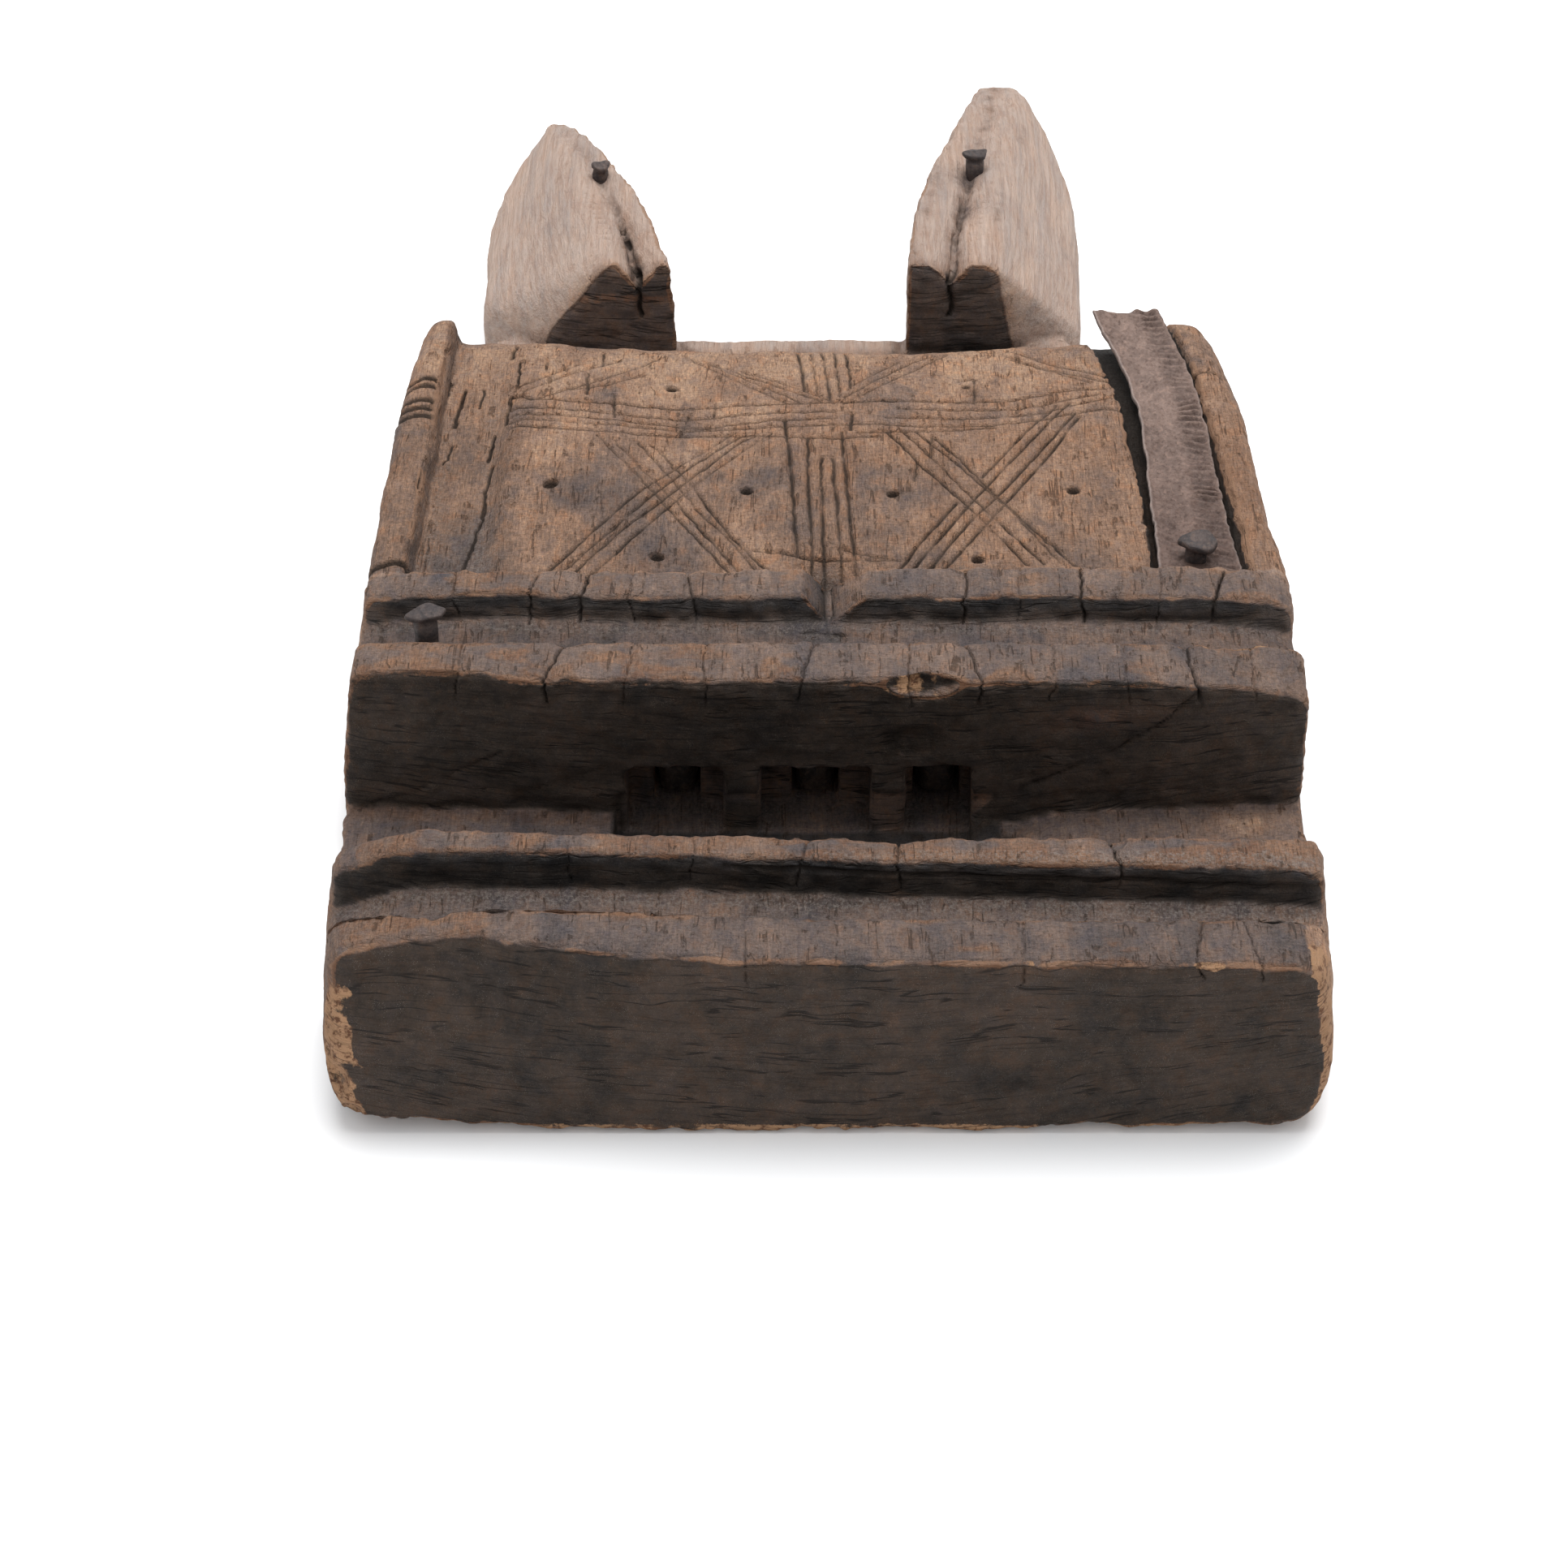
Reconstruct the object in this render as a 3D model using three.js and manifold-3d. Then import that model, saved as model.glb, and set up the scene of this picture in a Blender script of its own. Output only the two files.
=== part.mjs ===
// West African wooden door lock case, lying on its back.
// One carved block of hardwood with a bolt channel across it, a tumbler chamber cut from the back,
// two ears at the head, an iron strap, four forged nails and three loose iron tumblers.
// Millimetres. +Z is out of the front face, the back lies on Z = 0, +Y runs from the foot to the ears.
import * as THREE from "three";
import { mergeVertices } from "three/addons/utils/BufferGeometryUtils.js";
import { ConvexGeometry } from "three/addons/geometries/ConvexGeometry.js";
import Module from "manifold-3d";

// ---- driving dimensions -------------------------------------------------
const LENGTH = 290; // foot to the longer ear's tip
const THICK = 36; // back to the tops of the cross ridges
const FOOT_RIDGE = [0, 11.8]; // each pair is start and end, measured from the foot
const GROOVE_1 = [11.8, 22.8];
const RIDGE_2 = [22.8, 29];
const CHANNEL = [29, 68.7]; // the crossbar slides here
const CHANNEL_FLOOR = 8.3;
const RIDGE_3 = [68.7, 81];
const GROOVE_2 = [81, 91.8];
const RIDGE_4 = [91.8, 101];
const GROOVE_1_FLOOR = 29;
const GROOVE_2_FLOOR = 31.4;
const PANEL_END = 186; // the shoulder
const PANEL_Z = 33;
const RAIL_Z = 36;
const PANEL_X = [-60, 57]; // engraved panel between the two side recesses
const RECESS_Z = 29.6;
const RAIL_IN_L = -71.5; // inner edges of the side rails
const RAIL_IN_R = 71;
const NECK = [184, 202];
const NECK_Z = 15;
const NECK_X = [-66, 50];

const MOUTH_X = [-35.5, 27]; // pocket sunk in the channel floor at the foot of its upper wall
const MOUTH = [52, 69.5];
const MOUTH_Z = 3.2; // the wood left under the pocket
const WINDOW_X = [[-33.5, -17], [-10.8, 7.9], [13.7, 24.8]]; // windows through the wall's foot
const WINDOW_END = 77;
const WINDOW_Z = 17;
const COMB_END = 86; // wood between the windows and the chamber, with one slot for each tumbler
const CHAMBER_X = [-36, 30];
const CHAMBER_END = 122;
const CHAMBER_Z = 14;
const TUMBLER_X = [-25.2, -1.5, 19.3];
const SLOT_W = 8;
const TUMBLER_W = 7;
const TUMBLER_Z = [4, 11.5];
const TUMBLER_TIP = 77.5;
const TRAVEL = 17.5; // how far a tumbler drops before its head meets the comb
const HEAD_W = 14;
const HEAD_L = 6;
const GAP = 0.3; // clearance round nails in their holes

const y0 = -LENGTH / 2; // foot
const X_SHIFT = -0.2; // centres the bounding box
const Y = (u) => y0 + u;

// ---- helpers --------------------------------------------------------------
const wasm = await Module();
wasm.setup();

function solid(geometry) {
  const g = (geometry.index ? geometry.toNonIndexed() : geometry).clone();
  const bare = new THREE.BufferGeometry().setAttribute(
    "position",
    g.getAttribute("position"),
  );
  const m = mergeVertices(bare, 1e-4);
  return new wasm.Manifold(
    new wasm.Mesh({
      numProp: 3,
      vertProperties: new Float32Array(m.attributes.position.array),
      triVerts: new Uint32Array(m.index.array),
    }),
  );
}

function geometryOf(manifold) {
  const m = manifold.getMesh();
  const v = new Float32Array(m.numVert * 3);
  for (let i = 0; i < m.numVert; i++)
    for (let k = 0; k < 3; k++) v[3 * i + k] = m.vertProperties[m.numProp * i + k];
  const g = new THREE.BufferGeometry();
  g.setAttribute("position", new THREE.BufferAttribute(v, 3));
  g.setIndex(new THREE.BufferAttribute(new Uint32Array(m.triVerts), 1));
  const flat = g.toNonIndexed();
  flat.computeVertexNormals();
  return flat;
}

// A box from its two corners.
function box([xa, xb], [ua, ub], [za, zb]) {
  const g = new THREE.BoxGeometry(xb - xa, ub - ua, zb - za);
  g.translate((xa + xb) / 2, Y((ua + ub) / 2), (za + zb) / 2);
  return solid(g);
}

// A shape drawn in (u, z) and extruded across the block along X.
function across(points, xa, xb) {
  const s = new THREE.Shape(points.map(([u, z]) => new THREE.Vector2(Y(u), z)));
  const g = new THREE.ExtrudeGeometry(s, { depth: xb - xa, bevelEnabled: false });
  // drawing plane (x, y) becomes (Y, Z) and the depth becomes X
  const m = new THREE.Matrix4().set(0, 0, 1, xa, 1, 0, 0, 0, 0, 1, 0, 0, 0, 0, 0, 1);
  g.applyMatrix4(m);
  return solid(g);
}

// A shape drawn in (x, z) and extruded along the block.
function along(points, ua, ub) {
  const s = new THREE.Shape(points.map(([x, z]) => new THREE.Vector2(x, z)));
  const g = new THREE.ExtrudeGeometry(s, { depth: ub - ua, bevelEnabled: false });
  const m = new THREE.Matrix4().set(1, 0, 0, 0, 0, 0, -1, Y(ub), 0, 1, 0, 0, 0, 0, 0, 1);
  g.applyMatrix4(m);
  return solid(g);
}

function hull(points) {
  return solid(
    new ConvexGeometry(points.map(([x, u, z]) => new THREE.Vector3(x, Y(u), z))),
  );
}

// ---- the block ------------------------------------------------------------
// Plan outline of the block at its widest, [u, left x, right x], barrelled a little.
const PLAN = [
  [0, -73.6, 76.0],
  [4, -77.0, 79.2],
  [26, -78.9, 80.6],
  [60, -81.3, 82.0],
  [100, -81.6, 81.6],
  [140, -80.2, 79.4],
  [172, -78.4, 77.2],
  [182, -76.6, 72.0],
  [186, -74.0, 66.0],
];
const outer = [];
for (const [u, l, r] of PLAN) {
  for (const [inset, z] of [
    [5.5, 0],
    [1.4, 3.2],
    [0, 10],
    [0.6, 20],
    [2.6, 34.4],
    [4.2, 36],
  ]) {
    outer.push([l + inset, u, z], [r - inset, u, z]);
  }
}
const blank = hull(outer);
const profile = across(
  [
    [0, 0.8],
    [1.2, 0],
    [PANEL_END, 0],
    [PANEL_END, NECK_Z],
    [PANEL_END - 0.6, 24],
    [PANEL_END - 3, 30.5],
    [PANEL_END - 8, 34.4],
    [PANEL_END - 16, RAIL_Z - 0.4],
    [RIDGE_4[1] + 0.6, RAIL_Z - 0.6],
    [RIDGE_4[1], THICK],
    [RIDGE_4[0] + 0.7, THICK],
    [RIDGE_4[0], THICK - 1],
    [RIDGE_4[0] - 0.4, GROOVE_2_FLOOR],
    [GROOVE_2[0] + 1.5, GROOVE_2_FLOOR],
    [GROOVE_2[0], THICK - 0.8],
    [GROOVE_2[0] - 0.8, THICK],
    [RIDGE_3[0] + 0.8, THICK],
    [RIDGE_3[0], THICK - 1],
    [CHANNEL[1], CHANNEL_FLOOR],
    [CHANNEL[0], CHANNEL_FLOOR],
    [CHANNEL[0], THICK - 0.8],
    [RIDGE_2[1] - 0.8, THICK],
    [RIDGE_2[0] + 0.6, THICK],
    [RIDGE_2[0], THICK - 1],
    [RIDGE_2[0] - 0.4, GROOVE_1_FLOOR],
    [GROOVE_1[0] + 1.5, GROOVE_1_FLOOR],
    [GROOVE_1[0], THICK - 0.6],
    [FOOT_RIDGE[1] - 0.8, THICK],
    [2.2, THICK],
    [0, THICK - 2],
  ],
  -90,
  90,
);
let block = blank.intersect(profile);

// engraved panel and the recess on each side of it
block = block.subtract(
  along(
    [
      [RAIL_IN_L, 50],
      [RAIL_IN_L, 31.2],
      [RAIL_IN_L + 1.4, 30.6],
      [PANEL_X[0] - 1.5, 30.6],
      [PANEL_X[0] + 2.5, PANEL_Z],
      [PANEL_X[1], PANEL_Z],
      [PANEL_X[1] + 0.4, RECESS_Z],
      [RAIL_IN_R, RECESS_Z],
      [RAIL_IN_R + 1.0, 33],
      [RAIL_IN_R + 1.6, 50],
    ],
    RIDGE_4[1],
    PANEL_END + 20,
  ),
);
// V notch in the ridge next to the panel
block = block.subtract(
  along(
    [
      [-5.4, 37],
      [0.8, 30.6],
      [7.6, 37],
    ],
    GROOVE_2[1] - 2,
    RIDGE_4[1] + 1,
  ),
);

// ---- neck and ears ----------------------------------------------------------
block = block.add(box(NECK_X, [NECK[0] - 2, NECK[1] + 6], [0, NECK_Z]));
const earLeft = hull([
  // x, u, z: inner side, then the sloping outer side, then the tip
  [-28.6, 202, 0], [-29.7, 202, 35.8], [-41.5, 202, 35.6], [-54, 202, 20], [-60, 202, 0],
  [-31.6, 212, 35.8], [-48, 225, 35.4], [-37.4, 233, 35.4], [-69, 216, 17], [-68.5, 214, 0],
  [-69.5, 250, 18.5], [-69.5, 250, 0], [-54.5, 249, 34.2], [-47, 256, 33.4],
  [-64, 264, 23.5], [-64, 264, 0], [-57.6, 271, 29.5], [-53.4, 271, 29.5], [-57.6, 271, 0],
  [-52.5, 270, 0], [-51.4, 266, 31.2], [-36, 233, 0], [-46.5, 256, 0],
]);
const earRight = hull([
  [16, 202, 0], [16.5, 202, 35.6], [33, 202, 35.2], [37, 202, 21], [41, 202, 0],
  [17.2, 221, 35.6], [18.9, 232, 35.4], [36.6, 232, 35.2], [51.7, 212, 14.5], [51.7, 212, 0],
  [53.4, 255, 16.5], [53.4, 255, 0], [38.6, 249, 34.4], [23.2, 249, 34.6],
  [50.4, 272, 20], [50.4, 272, 0], [47, 281, 24], [47, 281, 0], [41, 266, 33],
  [28, 266, 33.2], [32, 282, 31], [41, 290, 28.5], [32.6, 289, 28.5], [41, 290, 0],
  [32.6, 289, 0], [43.4, 287, 27.5], [28, 266, 0], [18, 232, 0],
]);
// a worn valley runs down the middle of each ear's front
const valley = (a, b) => {
  const dx = b[0] - a[0], du = b[1] - a[1], n = Math.hypot(dx, du);
  const nx = du / n, nu = -dx / n; // across the valley
  const w = 3.4, pts = [];
  for (const [p, s] of [[a, -4], [b, 30]]) {
    const bx = p[0] + (dx / n) * s, bu = p[1] + (du / n) * s;
    const top = p[2];
    pts.push([bx - nx * w, bu - nu * w, top + 8], [bx + nx * w, bu + nu * w, top + 8]);
    pts.push([bx - nx * w, bu - nu * w, top + 0.2], [bx + nx * w, bu + nu * w, top + 0.2]);
    pts.push([bx, bu, top - 2.6]);
  }
  return hull(pts);
};
block = block
  .add(earLeft.subtract(valley([-36.3, 202, 35.8], [-52.5, 262, 32.8])))
  .add(earRight.subtract(valley([24.7, 202, 35.6], [34.6, 272, 32.6])));

// ---- tumbler chamber, cut from the back ------------------------------------
block = block.subtract(box(MOUTH_X, MOUTH, [MOUTH_Z, CHANNEL_FLOOR + 2]));
for (const x of WINDOW_X)
  block = block.subtract(box(x, [MOUTH[0] + 8, WINDOW_END], [MOUTH_Z, WINDOW_Z]));
for (const x of TUMBLER_X)
  block = block.subtract(
    box([x - SLOT_W / 2, x + SLOT_W / 2], [WINDOW_END - 1, COMB_END + 1], [MOUTH_Z, 12.3]),
  );
block = block.subtract(box(CHAMBER_X, [COMB_END, CHAMBER_END], [-5, CHAMBER_Z]));

// ---- nails ------------------------------------------------------------------
// Square forged nails: [name, x, u, head half sizes, head underside z, head top z, shank half width, point z, turn]
const NAILS = [
  ["groove_nail", -66.6, 84.2, 3.7, 2.7, 36.8, 39.4, 2.0, 1.5, 0.05],
  ["strap_nail", 64.9, 109.2, 4.0, 3.2, 34.6, 37.4, 1.9, 1.5, -0.1],
  ["left_ear_nail", -45.4, 239.8, 2.2, 2.0, 35.0, 37.2, 1.5, 3, -0.26],
  ["right_ear_nail", 30.9, 242.0, 3.0, 2.2, 36.6, 38.6, 1.8, 3, 0.14],
];
function square(half, z, grow) {
  return [
    [-1, -1], [1, -1], [1, 1], [-1, 1],
  ].map(([a, b]) => [a * (half + grow), b * (half + grow), z]);
}
function placed(points, x, u, turn) {
  const c = Math.cos(turn), s = Math.sin(turn);
  return points.map(([px, pu, z]) => [x + c * px - s * pu, u + s * px + c * pu, z]);
}
function shank(n, grow) {
  const [, x, u, , , under, , half, point, turn] = n;
  return hull(
    placed(
      [
        ...square(half, under + 0.4, grow),
        ...square(half * 0.8, (under + point) / 2, grow),
        ...square(half * 0.32, point - grow, grow),
      ],
      x, u, turn,
    ),
  );
}
function nail(n) {
  const [, x, u, hx, hu, under, top, , , turn] = n;
  const head = hull(
    placed(
      [
        [-hx * 0.72, -hu * 0.7, under], [hx * 0.72, -hu * 0.7, under],
        [hx * 0.72, hu * 0.7, under], [-hx * 0.72, hu * 0.7, under],
        [-hx, -hu * 0.7, under + 0.9], [hx, -hu * 0.7, under + 0.9],
        [hx, hu * 0.7, under + 0.9], [-hx, hu * 0.7, under + 0.9],
        [-hx * 0.7, -hu, under + 0.9], [hx * 0.7, -hu, under + 0.9],
        [hx * 0.7, hu, under + 0.9], [-hx * 0.7, hu, under + 0.9],
        [-hx * 0.62, -hu * 0.6, top], [hx * 0.62, -hu * 0.6, top],
        [hx * 0.62, hu * 0.6, top], [-hx * 0.62, hu * 0.6, top],
      ],
      x, u, turn,
    ),
  );
  return head.add(shank(n, 0));
}
for (const n of NAILS) block = block.subtract(shank(n, GAP));

// ---- iron strap -------------------------------------------------------------
// [u, left x, right x, middle z]: a bent band, lifting towards its torn upper end
const STRAP = [
  [101.6, 58.0, 72.2, 31.3],
  [106, 58.0, 71.8, 31.6],
  [113, 58.0, 71.2, 31.9],
  [130, 57.9, 70.4, 32.5],
  [155, 57.7, 69.6, 33.3],
  [170, 54.9, 68.0, 34.4],
  [178, 52.4, 66.2, 35.7],
  [184.5, 50.6, 64.6, 37.0],
];
const STRAP_T = 1.5;
let strap = null;
for (let i = 0; i + 1 < STRAP.length; i++) {
  const pts = [];
  for (const [u, l, r, z] of [STRAP[i], STRAP[i + 1]])
    for (const x of [l, r])
      for (const s of [-0.5, 0.5]) pts.push([x, u, z + s * STRAP_T]);
  const piece = hull(pts);
  strap = strap ? strap.add(piece) : piece;
}
// the panel's edge and the shoulder give way where the strap leans inwards
for (let i = 0; i + 1 < STRAP.length; i++) {
  const pts = [];
  for (const [[u, l, r, z], e] of [[STRAP[i], -GAP], [STRAP[i + 1], GAP]])
    for (const x of [l - GAP, r + GAP])
      for (const top of [z - STRAP_T / 2 - GAP, 50]) pts.push([x, u + e, top]);
  block = block.subtract(hull(pts));
}
strap = strap.subtract(shank(NAILS[1], GAP));

// ---- tumblers ---------------------------------------------------------------
function tumbler(x) {
  const [za, zb] = TUMBLER_Z;
  const headStart = COMB_END + 0.5 + TRAVEL;
  const w = TUMBLER_W / 2;
  const pin = hull([
    // the nose is filed to a blunt point
    [x - w * 0.6, TUMBLER_TIP, za + 2], [x + w * 0.6, TUMBLER_TIP, za + 2],
    [x - w * 0.6, TUMBLER_TIP, zb - 2], [x + w * 0.6, TUMBLER_TIP, zb - 2],
    [x - w, TUMBLER_TIP + 3, za], [x + w, TUMBLER_TIP + 3, za],
    [x - w, TUMBLER_TIP + 3, zb], [x + w, TUMBLER_TIP + 3, zb],
    [x - w, headStart + 1, za], [x + w, headStart + 1, za],
    [x - w, headStart + 1, zb], [x + w, headStart + 1, zb],
  ]);
  return pin.add(
    box([x - HEAD_W / 2, x + HEAD_W / 2], [headStart, headStart + HEAD_L], [za, zb]),
  );
}

// ---- scene graph --------------------------------------------------------------
const wood = new THREE.MeshStandardMaterial({ color: 0x6b5140, roughness: 0.85, metalness: 0 });
const iron = new THREE.MeshStandardMaterial({ color: 0x3c3433, roughness: 0.65, metalness: 0.7 });

const lock = new THREE.Group();
lock.position.x = X_SHIFT;
function put(name, manifold, material, parent = lock) {
  const mesh = new THREE.Mesh(geometryOf(manifold), material);
  mesh.name = name;
  parent.add(mesh);
  return mesh;
}
put("lock_case", block, wood);
const fittings = new THREE.Group();
lock.add(fittings);
put("iron_strap", strap, iron, fittings);
for (const n of NAILS) put(n[0], nail(n), iron, fittings);
const works = new THREE.Group();
lock.add(works);
["tumbler_left", "tumbler_middle", "tumbler_right"].forEach((name, i) =>
  put(name, tumbler(TUMBLER_X[i]), iron, works),
);

export default lock;
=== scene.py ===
import math

import bmesh
import bpy
import numpy as np
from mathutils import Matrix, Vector


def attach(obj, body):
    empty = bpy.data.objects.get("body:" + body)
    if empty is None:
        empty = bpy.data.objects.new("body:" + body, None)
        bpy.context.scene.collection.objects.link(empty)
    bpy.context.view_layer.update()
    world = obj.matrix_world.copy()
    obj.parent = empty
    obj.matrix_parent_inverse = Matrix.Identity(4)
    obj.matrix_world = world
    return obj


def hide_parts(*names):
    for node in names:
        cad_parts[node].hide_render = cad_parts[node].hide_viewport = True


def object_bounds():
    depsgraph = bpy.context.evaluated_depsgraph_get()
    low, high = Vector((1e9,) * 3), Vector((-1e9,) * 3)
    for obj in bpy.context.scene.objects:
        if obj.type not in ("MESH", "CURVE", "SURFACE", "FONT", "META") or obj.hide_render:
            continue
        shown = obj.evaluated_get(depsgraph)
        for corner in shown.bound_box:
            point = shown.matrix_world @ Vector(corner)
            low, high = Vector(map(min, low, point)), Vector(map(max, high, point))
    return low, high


# A West African wooden door lock case lying on its back, foot towards the camera.
# Lengths in the shape functions are millimetres: x across, u from the foot along the case, z up.
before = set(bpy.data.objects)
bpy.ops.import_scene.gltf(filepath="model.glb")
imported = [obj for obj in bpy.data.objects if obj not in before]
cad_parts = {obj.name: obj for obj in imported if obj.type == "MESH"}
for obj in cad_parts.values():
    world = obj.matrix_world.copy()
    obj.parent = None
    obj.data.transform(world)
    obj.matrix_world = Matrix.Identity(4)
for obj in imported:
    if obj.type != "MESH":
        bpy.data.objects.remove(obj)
cad_lo, cad_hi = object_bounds()

X0, U0 = -0.2, -145.0  # row X = x + X0, row Y = u + U0
F = np.float32


def to_row(p):
    q = np.empty_like(p)
    q[:, 0] = (p[:, 0] + X0) * 1e-3
    q[:, 1] = (p[:, 1] + U0) * 1e-3
    q[:, 2] = p[:, 2] * 1e-3
    return q


# ------------------------------------------------------------------ noise
def _hash(ix, iy, iz, seed):
    h = (
        ix.astype(np.uint32) * np.uint32(374761393)
        + iy.astype(np.uint32) * np.uint32(668265263)
        + iz.astype(np.uint32) * np.uint32(2147483647)
        + np.uint32(seed * 144269 + 977)
    )
    h = (h ^ (h >> np.uint32(13))) * np.uint32(1274126177)
    h = (h ^ (h >> np.uint32(15))) * np.uint32(2246822519)
    h = h ^ (h >> np.uint32(16))
    return (h & np.uint32(0xFFFFFF)).astype(F) / F(0xFFFFFF)


def noise3(x, y, z, seed=0):
    """Smooth value noise between -1 and 1."""
    x, y, z = np.broadcast_arrays(np.asarray(x, F), np.asarray(y, F), np.asarray(z, F))
    fx, fy, fz = np.floor(x), np.floor(y), np.floor(z)
    ix, iy, iz = fx.astype(np.int64), fy.astype(np.int64), fz.astype(np.int64)
    ix, iy, iz = ix + 5000, iy + 5000, iz + 5000
    tx, ty, tz = x - fx, y - fy, z - fz
    tx = tx * tx * tx * (tx * (tx * 6 - 15) + 10)
    ty = ty * ty * ty * (ty * (ty * 6 - 15) + 10)
    tz = tz * tz * tz * (tz * (tz * 6 - 15) + 10)
    out = 0
    for dx in (0, 1):
        wx = tx if dx else 1 - tx
        for dy in (0, 1):
            wy = ty if dy else 1 - ty
            for dz in (0, 1):
                wz = tz if dz else 1 - tz
                out = out + wx * wy * wz * _hash(ix + dx, iy + dy, iz + dz, seed)
    return out * 2 - 1


def fbm(x, y, z, seed=0, octaves=3, gain=0.5):
    total, amp, norm = 0, 1.0, 0.0
    for i in range(octaves):
        k = 2.0**i
        total = total + amp * noise3(x * k + 17.3 * i, y * k - 9.1 * i, z * k + 4.7 * i, seed + 31 * i)
        norm += amp
        amp *= gain
    return total / norm


def step(a, b, t):
    t = np.clip((t - a) / (b - a), 0, 1)
    return t * t * (3 - 2 * t)


def smax(a, b, k):
    h = np.clip(0.5 + 0.5 * (a - b) / k, 0, 1)
    return b + (a - b) * h + k * h * (1 - h)


def smin(a, b, k):
    return -smax(-a, -b, k)


def table(pairs, smooth=0.0, at=0.25):
    """A function of one variable through the given points, with its corners smoothed."""
    xs = np.array([p[0] for p in pairs], float)
    ys = np.array([p[1] for p in pairs], float)
    if not smooth:
        return lambda t: np.interp(t, xs, ys).astype(F)
    g = np.arange(xs[0], xs[-1] + at, at)
    v = np.interp(g, xs, ys)
    n = max(1, int(3 * smooth / at))
    w = np.exp(-0.5 * (np.arange(-n, n + 1) * at / smooth) ** 2)
    w /= w.sum()
    pad = np.concatenate([v[0] + (v[1] - v[0]) * np.arange(-n, 0), v, v[-1] + (v[-1] - v[-2]) * np.arange(1, n + 1)])
    v = np.convolve(pad, w, "valid")
    return lambda t: np.interp(t, g, v).astype(F)


# ------------------------------------------------------------------ the ridged part's side profile
PROFILE = [
    (0.0, 0.35), (0.5, 0.0), (101.3, 0.0), (101.3, 35.1), (100.6, 35.9), (97, 36.2), (93.2, 35.95), (92.2, 35.1),
    (91.8, 33.6), (91.4, 31.9), (90.4, 31.1), (86, 30.8), (82.6, 31.0), (81.6, 31.7), (80.9, 33.4), (80.5, 35.0),
    (79.7, 35.9), (76, 36.2), (69.8, 35.95), (68.75, 35.0), (68.7, 8.3), (29, 8.3), (29, 35.0), (28.3, 35.8),
    (26, 36.1), (23.5, 35.8), (22.85, 35.0), (22.6, 31.4), (22.2, 29.6), (21.2, 29.0), (17, 28.7), (13.8, 28.9),
    (12.7, 29.7), (12.0, 32.5), (11.6, 34.6), (10.6, 35.6), (6, 36.0), (1.6, 35.8), (0.4, 35.0), (0.0, 33.6),
]
PU, PZ, PD = -8.0, -8.0, 0.2
PNU, PNZ = int(120 / PD), int(56 / PD)


def polygon_table():
    gu = PU + PD * np.arange(PNU)
    gz = PZ + PD * np.arange(PNZ)
    U, Z = np.meshgrid(gu, gz, indexing="ij")
    best = np.full(U.shape, 1e9)
    inside = np.zeros(U.shape, bool)
    n = len(PROFILE)
    for i in range(n):
        (a, b), (c, d) = PROFILE[i], PROFILE[(i + 1) % n]
        ex, ez = c - a, d - b
        t = np.clip(((U - a) * ex + (Z - b) * ez) / (ex * ex + ez * ez), 0, 1)
        best = np.minimum(best, (U - a - t * ex) ** 2 + (Z - b - t * ez) ** 2)
        if b != d:
            cross = (b > Z) != (d > Z)
            inside ^= cross & (U < (c - a) * (Z - b) / (d - b) + a)
    sd = np.sqrt(best) * np.where(inside, -1, 1)
    # a blur rounds the worn edges
    s = 0.42 / PD
    k = np.exp(-0.5 * (np.arange(-6, 7) / s) ** 2)
    k /= k.sum()
    sd = np.apply_along_axis(lambda v: np.convolve(np.pad(v, 6, "edge"), k, "valid"), 0, sd)
    sd = np.apply_along_axis(lambda v: np.convolve(np.pad(v, 6, "edge"), k, "valid"), 1, sd)
    return sd.astype(F)


PTAB = polygon_table()


def profile_distance(u, z):
    a = np.clip((u - PU) / PD, 0, PNU - 1.001)
    b = np.clip((z - PZ) / PD, 0, PNZ - 1.001)
    i, j = a.astype(np.int32), b.astype(np.int32)
    s, t = (a - i).astype(F), (b - j).astype(F)
    return (
        PTAB[i, j] * (1 - s) * (1 - t) + PTAB[i + 1, j] * s * (1 - t) + PTAB[i, j + 1] * (1 - s) * t + PTAB[i + 1, j + 1] * s * t
    )


# ------------------------------------------------------------------ outlines measured along the case
RIGHT = table([(-10, 76.4), (0, 77.6), (6, 79.0), (26, 80.2), (60, 81.9), (100, 81.6), (140, 80.4), (160, 79.2), (174, 78.2), (190, 77.0), (300, 70)], 5)
LEFT = table([(-10, 74.6), (0, 76.0), (6, 77.6), (26, 79.0), (60, 81.2), (100, 81.5), (140, 81.0), (160, 80.4), (174, 79.8), (190, 78.8), (300, 75)], 5)
INSET = table([(-8, 9.5), (-2, 6.6), (0, 5.0), (1.6, 2.9), (3.6, 1.3), (8, 0.2), (12, 0), (20, 0.7), (30, 2.2), (36, 3.2), (48, 5.5)], 1.1)
BEVEL_FOOT = table([(-90, 3.0), (-74, 3.4), (-68, 5.2), (-60, 6.6), (-52, 5.6), (-41, 3.5), (-30, 1.5), (-25, 1.0), (-10, 0.1), (0, 0), (90, 0)], 1.5)
BEVEL_WALL = table([(-90, 2.6), (-60, 2.4), (-50, 0.8), (-35, 0.2), (-10, 0), (90, 0)], 2.0)
SHIFT_FAR = table([(-90, 2.7), (-60, 2.6), (-45, 2.2), (-20, 1.6), (-5, 0.9), (14, 0.1), (32, 0.8), (90, 0.9)], 3)
SHIFT_NEAR = table([(-90, 2.7), (-60, 2.6), (-45, 2.2), (-20, 1.6), (-5, 0.9), (14, 0.0), (45, -0.3), (60, -1.0), (80, -1.7), (90, -1.8)], 3)
SHIFT_4 = table([(-90, 0.7), (-50, 0.6), (-34, -0.2), (-6, -0.4), (2, 0.0), (10, 0.1), (60, 0.0), (90, -0.9)], 2)
SHIFT_4F = table([(-90, -0.6), (-20, -0.5), (8, 0.2), (25, 0.8), (90, 0.9)], 3)
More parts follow.
